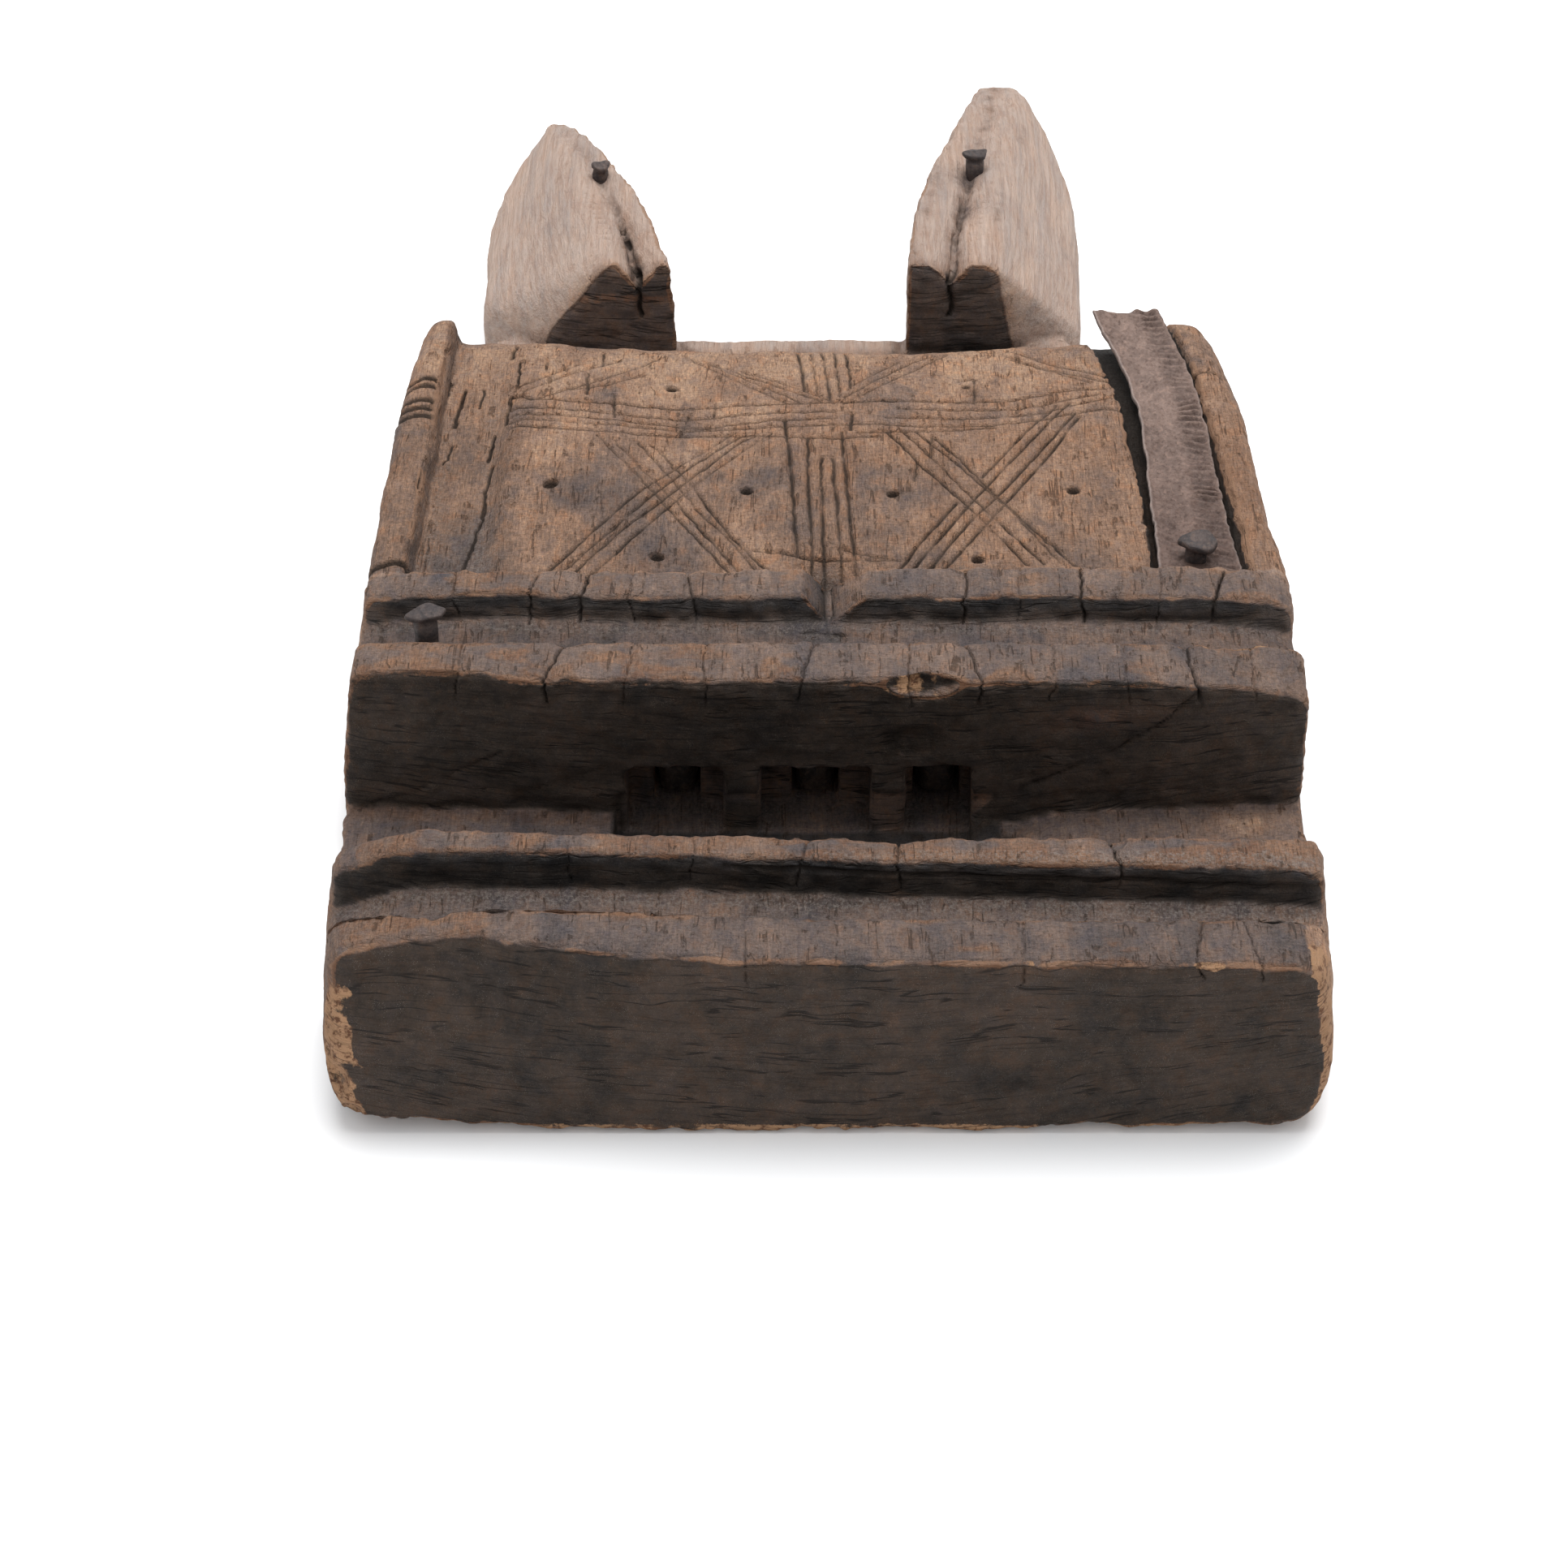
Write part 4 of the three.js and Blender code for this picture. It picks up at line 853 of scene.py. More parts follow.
def tones(V, N, w, depth, cut):
    x, u, z = (V[:, i].astype(F) for i in range(3))
    nx, nu, nz = (N[:, i].astype(F) for i in range(3))
    f = shape(x, u, z, w)

    def bend(h):
        s = 0
        for a in range(3):
            d = [F(0), F(0), F(0)]
            d[a] = F(h)
            s = s + shape(x + d[0], u + d[1], z + d[2], w) + shape(x - d[0], u - d[1], z - d[2], w)
        return (s - 6 * f) / (h * h)

    b1, b3 = bend(0.9), bend(2.6)
    open4 = np.clip(shape(x + 4 * nx, u + 4 * nu, z + 4 * nz, w) / 4, 0, 1)
    open12 = np.clip(shape(x + 12 * nx, u + 12 * nu, z + 12 * nz, w) / 12, 0, 1)
    rag = noise3(x / 3.5, u / 3.5, z / 3.5, 52) + 0.6 * noise3(x / 1.3, u / 1.3, z / 1.3, 53)
    # patina: crisp where a cut face meets a top face
    steep = -nu / (np.abs(nz) + np.abs(nu) + np.abs(nx) + 1e-6)
    wn = step(0.40, 0.56, steep + 0.06 * rag)
    on_ear = u > 199.5
    x_left = np.where(z > 20, -41.5 - (36.2 - z) * 0.77, -54 - (20 - z) * 0.26)
    x_right = 33.2 + (35.8 - z) * 0.206
    end_face = step(-0.5, 0.3, np.where(x < 0, x - x_left, x_right - x) + 0.3 * rag) * (u < 214)
    wn = np.where(on_ear, step(0.34, 0.46, steep) * end_face, wn)
    rest = 1 - wn
    wt, wf = (np.clip(v, 0, 1) ** 2 * rest + 1e-4 for v in (nz, nu))
    ws, wb = np.clip(np.abs(nx), 0, 1) ** 2 * rest, np.clip(-nz, 0, 1) ** 2 * rest
    side = np.where(u > 198, 0.03, 0.26 + 0.1 * step(60, 0, u) + 0.10 * step(20, 4, z))
    under = 0.22 + 0.15 * noise3(x / 30, u / 60, 0.5, 51)
    total = wt + wn + wf + ws + wb + 1e-6
    pat = (wt * TOP_TONE(u) + wn * NEAR_TONE(u) + wf * FAR_TONE(u) + ws * side + wb * under) / total
    # between the broad planes of each feature
    slot = (u > 28.5) & (u < 69.2) & (z < 30) & (z > 2)
    pat = np.where(slot & (np.abs(nx) > 0.5) & (np.abs(x) < 60), 0.95, pat)
    pat = pat - 0.06 * step(22, 9, z) * slot * wn - slot_wall(u, wn) * (0.03 + 0.03 * step(20, 60, x))
    pat = pat + slot * wt * (0.17 * step(20, -40, x) - 0.31)
    pat = pat + (u > 80.8) * (u < 91.6) * wt * (0.12 * step(30, -30, x) - 0.03)
    # Painted shade: the pocket under the channel's upper wall and the dividers between its windows are set dark, to the
    # shade they lie in; past u 69.2 the faces seen through the windows are painted lighter, a painted fill light in
    # their deep shade.
    dark = (x > -35.8) & (x < 29.5 + 0.4 * rag) & (u > 50) & (u < 124) & (z < 18.5) & (z > 1.0)
    dark &= ~((wt > 0.5) & (z > 7.0) & (u < 69) & (x > 27 - 4 * step(62, 54, u)))
    pat = np.where(dark, 0.80, pat)
    pat = np.where(dark & (u > 69.2), np.where((u > 77.6) & (z > 3.6), 0.06, 0.40), pat)
    pat = pat + 0.02 * (u > 60) * (u < 72) * step(30, 16, z) * step(56, 26, np.abs(x + 3))
    pat = np.where((u > 85) & (u < 123) & (z < 15) & (np.abs(x) < 38), 0.55, pat)
    # walls: black under the upper lip, browner at the foot; the bluish band under the lip is a painted reflection, set
    # through cool below
    wall = wn * (u > 86) * (u < 95.5)
    pat = pat + wall * (0.01 - 0.20 * step(34.8, 32.4, z))
    wall2 = wn * (u > 20) * (u < 27)
    pat = pat + wall2 * (-0.04 - 0.07 * step(0, 50, x) - 0.06 * step(31.5, 29.5, z))
    pat = pat - (u > 12) * (u < 22.4) * wt * (z > 26) * 0.07 * step(5, 50, x)
    pat = pat + (u < 9) * wn * 0.05 * step(25, 60, x)
    pat = pat + (u < 11.8) * wt * (z > 30) * (0.06 * step(10, 60, x) - 0.08 * step(-38, -64, x))
    stain = np.exp(-(((x - 45) / 8.0) ** 2) - ((z - 28.5 - 0.10 * (x - 45)) / 2.6) ** 2) * slot_wall(u, wn)
    pat = pat - 0.14 * stain
    # worn right edge of the foot
    outer = (x > 73.0) & (u < 27) & (z > 1.5) & (nu > -0.86)
    pat = np.where(outer, pat - 0.34 * step(27, 9, u), pat)
    # the channel's floor: a brown band at the wall's foot and a bare patch near the right end
    patch_r = np.exp(-(((x - 71) / 6.5) ** 2) - ((u - 63.5 - 0.12 * (x - 71)) / 2.8) ** 2) * slot * wt * (0.7 + 0.6 * rag)
    band_l = step(64.6, 67.0, u + 1.5 * rag) * slot * wt * (x < -36) * 0.45
    pat = pat - 0.30 * np.clip(patch_r, 0, 1) - 0.12 * band_l
    # the notch's cut faces and the foot of the panel behind it
    notch = (np.abs(x - 0.9) < 7.4) & (u > 90.6) & (u < 103) & (z > 30) & ((np.abs(nx) > 0.28) | (u > 100.6))
    pat = np.where(notch, 0.32 + 0.1 * rag, pat)
    pat = np.where(notch & (nx > 0.3), 0.50, pat)
    pat = pat - 0.16 * np.exp(-(((u - 100.9 - SHIFT_4F(x)) / 0.7) ** 2)) * (z > 33.5) * (nz > 0.2) + 0.05 * (u > 92) * (u < 99.5) * wt * (z > 33)
    # recesses of the panel: dirtier at the foot of the left side; painted shadow in the strip next to the strap
    pat = pat + 0.11 * (x < -71.0) * (u > 101) * (u < 176) * (z > 28) * step(172, 150, u)
    left = step(-52, -60, x) * step(-72.5, -69, x) * (u > 101) * (u < 186) * wt
    pat = pat + left * (0.07 + 0.10 * step(140, 100, u))
    # painted shadow: the strip next to and under the strap is set near black
    painted_strap_shadow = (x > PANEL_R(u) - 0.2) & (x < RAIL_RI(u) + 0.6) & (u > 99) & (u < 189) & (z < 33.6)
    pat = np.where(painted_strap_shadow, 0.98, pat)
    # painted shade: patina darkened where the surface is hemmed in (open4, open12), less in the channel
    pat = pat + (0.08 * step(1.0, 0.45, open4) + 0.16 * step(0.55, 0.15, open4) + 0.06 * step(0.8, 0.3, open12)) * (1 - 0.75 * slot)
    ear = step(200, 206, u)
    # wear: a thin line along the proud edges, and warm patches on the ridge tops
    line = np.exp(-(((steep - 0.42) / 0.12) ** 2)) * step(0.10, 0.35, b1) * (u < 102) * step(-0.25, 0.35, fbm(x / 5.0, u / 5.0, z / 9.0, 64, 2) + 0.25 * (u < 8) - 0.2 * ((u > 60) & (x > 20)))
    edge = step(0.30, 0.85, b1)
    along = 0.5 + 0.5 * fbm(x / 7.5, u / 7.5, z / 7.5, 61, 2)
    wear = np.clip(np.maximum(line * (0.25 + 1.2 * along), edge * (1.5 * along - 0.15)), 0, 1)
    front_edge = (u < 6) & (z > 26)
    wear = np.where(front_edge & (x > 0) & (x < 22), np.maximum(wear, line * 1.1), wear)
    # painted shadow next to the strap, carried by cut as well
    cut[painted_strap_shadow] = np.maximum(cut[painted_strap_shadow], 0.75)
    wear = np.where(dark | painted_strap_shadow, 0, wear)
    wear = wear * (1 - 0.6 * (u > 85) * (u < 123) * (z < 15))
    top = wt * (u < 102) * (z > 33)
    patch = fbm(x / 7.5, u / 3.6, z / 5.0, 62, 3)
    away = np.minimum(np.minimum(np.minimum(np.abs(u - 0.8), np.abs(u - 11.0)), np.minimum(np.abs(u - 23.4 - SHIFT_NEAR(x)), np.abs(u - 28.4 - SHIFT_FAR(x)))), np.minimum(np.minimum(np.abs(u - 69.6), np.abs(u - 79.8)), np.minimum(np.abs(u - 92.4 - SHIFT_4(x)), np.abs(u - 100.4 - SHIFT_4F(x)))))
    rim = np.exp(-((away / 1.1) ** 2))
    rim = np.exp(-((away / 0.85) ** 2))
    lean_warm = np.where(u < 13, 0.75 * step(-44, -64, x) - 0.42, np.where(u < 33, 0.16 + 0.10 * step(0, -60, x), np.where(u < 84, 0.42 * step(6, -40, x) - 0.34, 0.24 * step(-20, -70, x) - 0.30)))
    warm = top * step(-0.02, 0.34, patch + 0.46 * rim + lean_warm)
    warm = np.maximum(warm, np.clip(patch_r, 0, 1))
    warm = np.maximum(warm, 0.8 * band_l)
    warm = np.maximum(warm, 0.8 * outer * step(22, 10, u))
    warm = np.maximum(warm, 0.5 * stain)
    cool = np.clip(0.85 * top * (1 - warm), 0, 1)
    cool = np.maximum(cool, wt * (u < 102) * (z < 34) * (u > 12) * 0.6 * (1 - warm))
    cool = np.maximum(cool, slot * wt * (1 - warm))
    # painted reflection: a bluish band along the top of these walls
    cool = np.maximum(cool, (wall + wall2) * step(32.8, 34.4, z))
    warm = np.maximum(warm, (u > 198) * step(0.02, 0.25, b3) * step(226, 205, u) * rest * (z > 31))
    warm = np.maximum(warm, (u > 101) * (u < 187) * (wt + ws) * step(-0.05, 0.5, fbm(x / 11, u / 13, z / 9, 63, 3) + 0.28 * (np.abs(x - 27) < 24) + 0.35 * step(66, 70, x) - 0.12))
    raw = np.zeros(len(x), F)
    for k in RAW_SCARS:
        c, r, _ = SCARS[k]
        m = (np.abs(x - c[0]) < r[0] + 2) & (np.abs(u - c[1]) < r[1] + 2) & (np.abs(z - c[2]) < r[2] + 2)
        e = ell(x[m] + 0.8 * w[1][m], u[m] + 0.6 * w[2][m], z[m] + 0.8 * w[0][m], c, r)
        raw[m] = np.maximum(raw[m], step(0.75, 0.15, np.abs(e)) * ((0.34 if k == 0 else 0.75) + 0.40 * rag[m]))
    corner = step(73.0, 76.5, np.abs(x)) * step(9, 2.5, u) * step(1.5, 3.5, z) * step(36.5, 33, z) * (nu > -0.82)
    raw = np.maximum(raw, corner * (0.65 + 0.35 * rag))
    raw = np.maximum(raw, outer * step(10, 3, u) * (0.90 + 0.25 * rag))
    torn = step(70.6, 73.2, -x + 1.5 * rag) * step(7, 2, u) * step(0.8, 2.2, z) * step(31, 26, z)
    raw = np.maximum(raw, torn * (0.80 + 0.35 * rag))
    raw = np.maximum(raw, step(3.0, 1.7, z + 0.6 * rag) * step(6, 1, u) * (0.66 + 0.4 * rag) * (np.abs(x) < 79) * (nz < 0.3))
    # grey dust where it settles
    floor_of_cut = (u > 12) & (u < 25.5)
    dust = wt * (0.45 * step(0.02, -0.12, b3) + 0.35 * step(0.95, 0.6, open4)) * (u < 186) * (~slot)
    dust = dust + wt * floor_of_cut * (0.40 + 0.40 * step(-20, 60, x) + 0.7 * np.exp(-(((u - 14.2) / 1.5) ** 2)))
    dust = dust + left * 0.5 * step(135, 100, u) + 0.25 * top
    dust = np.where(notch, 0.0, np.clip(dust, 0, 1))
    # the left ear's near end has a worn ledge
    ledge = (u > 200) & (u < 218) & (x < -30) & (x > -56) & (np.abs(z - 28.2 - 0.25 * rag) < 0.75) & (wn > 0.5)
    warm = np.where(ledge, 1.0, warm)
    pat = np.where(ledge, 0.55, pat)
    pat = np.where((u > 200) & (u < 218) & (x < -15) & (z < 27.5) & (wn > 0.5), pat - 0.10, pat)
    # Each ear's top strip: the valley painted darker and greyer as painted shade, darker lines along the strip's edges,
    # and the bead next to the valley warmer.
    for (vx, _), sd in ((VALLEYS[0], -1), (VALLEYS[1], 1)):
        off = (x - vx(u)) * sd
        strip = (u > 203) * (z > 24) * (x * sd > 8) * rest
        pat = pat + strip * (0.20 * np.exp(-((off / 2.4) ** 2)) + 0.13 * np.exp(-(((off - 7.6) / 1.1) ** 2)) + 0.10 * np.exp(-(((off + 6.6) / 1.2) ** 2))) * (0.8 + 0.5 * rag)
        warm = np.maximum(warm, strip * 0.7 * np.exp(-(((off - 4.4) / 1.6) ** 2)) * step(262, 225, u))
    tint = fbm(x / 15.0, u / 21.0, z / 15.0, 43, 3) * 0.55 + 0.55 * fbm(x / 5.0, u / 7.0, z / 6.0, 47, 3)
    # darker stains seen on the panel
    for cx, cu, rx, ru, k in ((3, 128, 7, 8, 0.7), (-13, 132, 6, 6, 0.9), (-44, 127, 7, 5, 1.2), (-36, 128, 7, 7, 0.9), (-31, 112, 9, 6, 0.6), (-57, 128, 5, 9, 0.6), (-22, 108, 6, 5, 0.7), (-55, 150, 5, 6, 0.4), (36, 128, 13, 12, -0.5), (10, 142, 12, 8, -0.4), (29, 106, 8, 4, 0.5), (-40, 119, 6, 5, 0.5), (-5, 104, 9, 5, 0.5), (20, 175, 20, 8, -0.3), (-62, 112, 6, 12, 0.9), (-52, 103, 9, 4, 0.5), (16, 150, 7, 5, 0.6), (-20, 140, 8, 6, -0.6), (5, 108, 5, 6, 0.3)):
        tint = tint - 0.85 * k * np.exp(-(((x - cx) / rx) ** 2) - ((u - cu) / ru) ** 2) * (wt > 0.3) * (u > 98) * (0.6 + 0.9 * w[1])
    return {
        "patina": np.clip(pat, 0, 1.15),
        "wear": np.clip(wear, 0, 1),
        "warm": np.clip(warm, 0, 1),
        "cool": np.clip(cool, 0, 1),
        "raw": np.clip(raw, 0, 1),
        "dust": dust,
        "cut": np.clip(cut, 0, 1),
        "tint": np.clip(0.5 + 0.5 * tint, 0, 1),
        "endgrain": np.where(u > 198, wn, np.clip(np.abs(nu) * 1.15, 0, 1) ** 2 * (np.abs(nu) > 0.3)),
        "ear": ear,
        "face": wn * np.where(u < 9, 1.0, 0.7 * (u > 60) * (u < 74)),
        "shade": np.where(dark, 1.0, np.maximum(np.clip(0.35 * open4 + 0.65 * open12, 0, 1), 0.42 * slot)),
    }, b1


def weather(V, N, w, b1):
    """Small relief: fibres along the grain, tool marks across the cut faces, crumbled edges."""
    x, u, z = (V[:, i].astype(F) for i in range(3))
    nu, nz = N[:, 1].astype(F), N[:, 2].astype(F)
    fibre = fbm(x / 1.5, u / 9.0, z / 1.5, 101, 2) * 0.11 + noise3(x / 3.4, u / 26.0, z / 3.4, 102) * 0.13
    chop = noise3(x / 9.0, u / 2.0, z / 1.3, 103) * np.where(u < 6, 0.012, 0.08) + noise3(x / 2.2, u / 1.2, z / 1.1, 104) * np.where(u < 6, 0.025, 0.06)
    end = np.abs(nu) ** 1.5
    d = fibre * (1 - end) + chop * end
    d = d + 0.05 * noise3(x / 0.9, u / 0.9, z / 0.9, 105)
    b = np.clip(b1, 0, 1)
    crumble = np.clip(b * 1.2, 0, 1) * (0.34 * noise3(x / 2.6, u / 2.6, z / 2.6, 106) + 0.24 * noise3(x / 1.1, u / 1.1, z / 1.1, 107) - 0.10)
    inner = (np.abs(x + 3) < 42) & (u > 72) & (u < 124) & (z < 16)
    return np.where(inner, 0.3 * d, d + crumble)


def case_object(material):
    V, Q, ngons = build_case()
    w = slow_noise(V[:, 0], V[:, 1], V[:, 2])
    N = normals_of(V, Q, ngons)
    depth, cut = carve(V, N, w)
    marks, b1 = tones(V, N, w, depth, cut)
    move = weather(V, N, w, b1) - depth
    V = V + N * move[:, None]
    V[:, 2] = np.maximum(V[:, 2], 0.05)
    lo, hi = (np.array(v) for v in (cad_lo, cad_hi))
    R = to_row(V)
    R = np.clip(R, lo + 5e-5, hi - 5e-5)
    mesh = bpy.data.meshes.new("carved_case")
    mesh.from_pydata(R.tolist(), [], Q.tolist() + ngons)
    mesh.polygons.foreach_set("use_smooth", np.ones(len(mesh.polygons), bool))
    for name, values in marks.items():
        mesh.attributes.new(name, "FLOAT", "POINT").data.foreach_set("value", values.astype(F))
    mesh.materials.append(material)
    ob = bpy.data.objects.new("carved_case", mesh)
    bpy.context.scene.collection.objects.link(ob)
    return ob


# ------------------------------------------------------------------ materials
class Nodes:
    def __init__(self, name):
        self.mat = bpy.data.materials.new(name)
        self.mat.use_nodes = True
        self.t = self.mat.node_tree
        self.t.nodes.clear()
        self.out = self.t.nodes.new("ShaderNodeOutputMaterial")
        self.bsdf = self.t.nodes.new("ShaderNodeBsdfPrincipled")
        self.t.links.new(self.bsdf.outputs[0], self.out.inputs[0])
        coord = self.t.nodes.new("ShaderNodeTexCoord")
        self.p = self.scaled(coord.outputs["Object"], (1000, 1000, 1000))

    def put(self, socket, v):
        if isinstance(v, bpy.types.NodeSocket):
            self.t.links.new(v, socket)
        elif isinstance(v, (tuple, list)) and len(v) == 3 and socket.type == "RGBA":
            socket.default_value = (*v, 1)
        else:
            socket.default_value = v

    def scaled(self, vec, s, move=(0, 0, 0)):
        n = self.t.nodes.new("ShaderNodeMapping")
        self.t.links.new(vec, n.inputs["Vector"])
        n.inputs["Scale"].default_value = s
        n.inputs["Location"].default_value = move
        return n.outputs[0]

    def attr(self, name):
        n = self.t.nodes.new("ShaderNodeAttribute")
        n.attribute_name = name
        return n.outputs["Fac"]

    def noise(self, s, scale=1.0, detail=3.0, rough=0.55, distort=0.0, vec=None, kind="FBM", move=(0, 0, 0)):
        n = self.t.nodes.new("ShaderNodeTexNoise")
        n.noise_type = kind
        self.t.links.new(self.scaled(vec or self.p, s, move), n.inputs["Vector"])
        n.inputs["Scale"].default_value = scale
        n.inputs["Detail"].default_value = detail
        n.inputs["Roughness"].default_value = rough
        n.inputs["Distortion"].default_value = distort
        return n.outputs[0]

    def cells(self, s, feature="F1", randomness=1.0):
        n = self.t.nodes.new("ShaderNodeTexVoronoi")
        n.feature = feature
        self.t.links.new(self.scaled(self.p, s), n.inputs["Vector"])
        n.inputs["Randomness"].default_value = randomness
        return n.outputs["Distance"], n.outputs["Color"]

    def math(self, op, a, b=0.0, c=0.0, clamp=False):
        n = self.t.nodes.new("ShaderNodeMath")
        n.operation = op
        n.use_clamp = clamp
        self.put(n.inputs[0], a)
        self.put(n.inputs[1], b)
        self.put(n.inputs[2], c)
        return n.outputs[0]

    def span(self, v, a, b, lo=0.0, hi=1.0, kind="SMOOTHSTEP"):
        n = self.t.nodes.new("ShaderNodeMapRange")
        n.interpolation_type = kind
        self.put(n.inputs[0], v)
        for i, k in zip((1, 2, 3, 4), (a, b, lo, hi)):
            self.put(n.inputs[i], k)
        return n.outputs[0]

    def mix(self, fac, a, b, kind="MIX"):
        n = self.t.nodes.new("ShaderNodeMix")
        n.data_type = "RGBA"
        n.blend_type = kind
        n.clamp_factor = True
        self.put(n.inputs["Factor"], fac)
        self.put(n.inputs[6], a)
        self.put(n.inputs[7], b)
        return n.outputs[2]

    def ramp(self, v, stops):
        n = self.t.nodes.new("ShaderNodeValToRGB")
        n.color_ramp.interpolation = "LINEAR"
        e = n.color_ramp.elements
        while len(e) < len(stops):
            e.new(0.5)
        for el, (pos, col) in zip(e, stops):
            el.position = pos
            el.color = (*col, 1)
        self.t.links.new(v, n.inputs[0])
        return n.outputs[0]

    def bump(self, height, distance, strength=1.0, before=None):
        n = self.t.nodes.new("ShaderNodeBump")
        n.inputs["Strength"].default_value = strength
        n.inputs["Distance"].default_value = distance
        self.t.links.new(height, n.inputs["Height"])
        if before is not None:
            self.t.links.new(before, n.inputs["Normal"])
        return n.outputs[0]

    def shader(self, **values):
        for k, v in values.items():
            self.put(self.bsdf.inputs[k.replace("_", " ")], v)


def wood_material():
    k = Nodes("old_wood")
    patina, wear, raw, dust, cut = (k.attr(n) for n in ("patina", "wear", "raw", "dust", "cut"))
    tint, end, ear, shade, warm, cool, face = (k.attr(n) for n in ("tint", "endgrain", "ear", "shade", "warm", "cool", "face"))
    along = k.math("SUBTRACT", 1.0, end)
    calm = k.math("SUBTRACT", k.math("SUBTRACT", 1.0, k.math("MULTIPLY", cool, 0.50)), k.math("MULTIPLY", ear, 0.35))
    streak = k.math("MULTIPLY", along, calm)
    dashed = k.math("MULTIPLY", k.math("SUBTRACT", 1.0, k.math("MAXIMUM", k.math("MULTIPLY", end, 0.70), k.math("MULTIPLY", face, 0.90))), k.math("SUBTRACT", 1.0, k.math("MULTIPLY", ear, 0.85)))
    fibre = k.noise((1.1, 0.07, 1.1), 1.0, 6, 0.68, 0.5)
    fine = k.noise((3.4, 0.42, 3.4), 1.0, 5, 0.66)
    across = k.noise((0.20, 1.7, 1.7), 1.0, 6, 0.68, 0.4)
    dash = k.noise((0.75, 2.6, 2.6), 1.0, 4, 0.66, 0.3)
    grit = k.noise((3.0, 3.0, 3.0), 1.0, 4, 0.72)
    cloud = k.noise((0.12, 0.08, 0.12), 1.0, 5, 0.66, 0.8)
    cloud2 = k.noise((0.34, 0.24, 0.34), 1.0, 5, 0.68, 0.5, move=(7, 3, 1))
    cloud3 = k.noise((0.70, 0.50, 0.70), 1.0, 4, 0.7, 0.3, move=(3, 17, 5))
    specks, _ = k.cells((1.05, 1.05, 1.05))
    pores, _ = k.cells((1.7, 0.30, 1.7))
    grain = k.math("ADD", k.math("MULTIPLY", fibre, along), k.math("MULTIPLY", across, end))
    # growth rings: height less a curve that is steeper low down
    sep = k.t.nodes.new("ShaderNodeSeparateXYZ")
    k.t.links.new(k.p, sep.inputs[0])
    px, pz = sep.outputs[0], sep.outputs[2]
    steepness = k.math("SUBTRACT", 0.0037, k.math("MULTIPLY", pz, 0.000105))
    warp = k.noise((0.030, 0.012, 0.07), 1.0, 3, 0.55)
    ring_at = k.math("ADD", k.math("SUBTRACT", pz, k.math("MULTIPLY", k.math("MULTIPLY", px, px), steepness)), k.math("MULTIPLY", warp, 5.0))
    both = k.t.nodes.new("ShaderNodeCombineXYZ")
    k.put(both.inputs[0], px)
    k.put(both.inputs[1], k.math("MULTIPLY", sep.outputs[1], 0.25))
    k.put(both.inputs[2], ring_at)
    arc = both.outputs[0]
    rings = k.noise((0.010, 0.004, 0.85), 1.0, 4, 0.68, vec=arc)
    split_field = k.noise((0.042, 0.02, 0.62), 1.0, 2, 0.5, vec=arc)
    split_where = k.noise((0.085, 0.03, 0.20), 1.0, 2, 0.5, vec=arc, move=(5, 0, 2))
    near_line = k.math("ABSOLUTE", k.math("SUBTRACT", split_field, 0.5))
    checks = k.math("MULTIPLY", k.span(near_line, 0.024, 0.008), k.span(split_where, 0.47, 0.55))
    split2 = k.noise((0.06, 0.02, 1.1), 1.0, 2, 0.5, vec=arc, move=(31, 7, 13))
    checks2 = k.math("MULTIPLY", k.span(k.math("ABSOLUTE", k.math("SUBTRACT", split2, 0.47)), 0.034, 0.012), k.span(split_where, 0.54, 0.44))
    checks = k.math("MULTIPLY", k.math("MAXIMUM", checks, k.math("MULTIPLY", checks2, k.math("SUBTRACT", 0.7, k.math("MULTIPLY", face, 0.45)))), end)
    # hairline cracks along the fibres of the faces
    hair_field = k.noise((0.55, 0.030, 0.55), 1.0, 2, 0.5, 0.2, move=(2, 5, 9))
    hair = k.math("MULTIPLY", k.span(k.math("ABSOLUTE", k.math("SUBTRACT", hair_field, 0.5)), 0.030, 0.010), k.span(cloud2, 0.50, 0.60))
    hair = k.math("MULTIPLY", k.math("MULTIPLY", hair, along), k.math("SUBTRACT", 1.0, k.math("MULTIPLY", ear, 0.75)))
    # patina, broken up
    mott = k.math("ADD", k.math("MULTIPLY", k.math("SUBTRACT", cloud, 0.5), 0.55), k.math("MULTIPLY", k.math("MULTIPLY", k.math("SUBTRACT", grain, 0.5), 0.42), k.math("SUBTRACT", calm, k.math("MAXIMUM", k.math("MULTIPLY", end, 0.45), k.math("MULTIPLY", face, 0.88)))))
    mott = k.math("ADD", mott, k.math("MULTIPLY", k.math("SUBTRACT", cloud3, 0.5), 0.34))
    mott = k.math("ADD", mott, k.math("MULTIPLY", k.math("SUBTRACT", grit, 0.5), 0.24))
    mott = k.math("ADD", mott, k.math("MULTIPLY", k.math("SUBTRACT", 0.5, tint), 0.42))
    mott = k.math("MULTIPLY", mott, k.span(patina, 0.5, 1.0, 1.0, 0.55))
    pat = k.math("ADD", patina, mott, clamp=True)
    base = k.ramp(pat, [
        (0.0, (0.500, 0.325, 0.220)),
        (0.12, (0.390, 0.243, 0.165)),
        (0.30, (0.262, 0.168, 0.120)),
        (0.48, (0.172, 0.119, 0.095)),
        (0.66, (0.104, 0.077, 0.064)),
        (0.86, (0.056, 0.0425, 0.0340)),
        (1.0, (0.0165, 0.0132, 0.0110)),
    ])
    # the foot's end grain is plainer and browner
    base = k.mix(face, base, (0.93, 0.85, 0.775), "MULTIPLY")
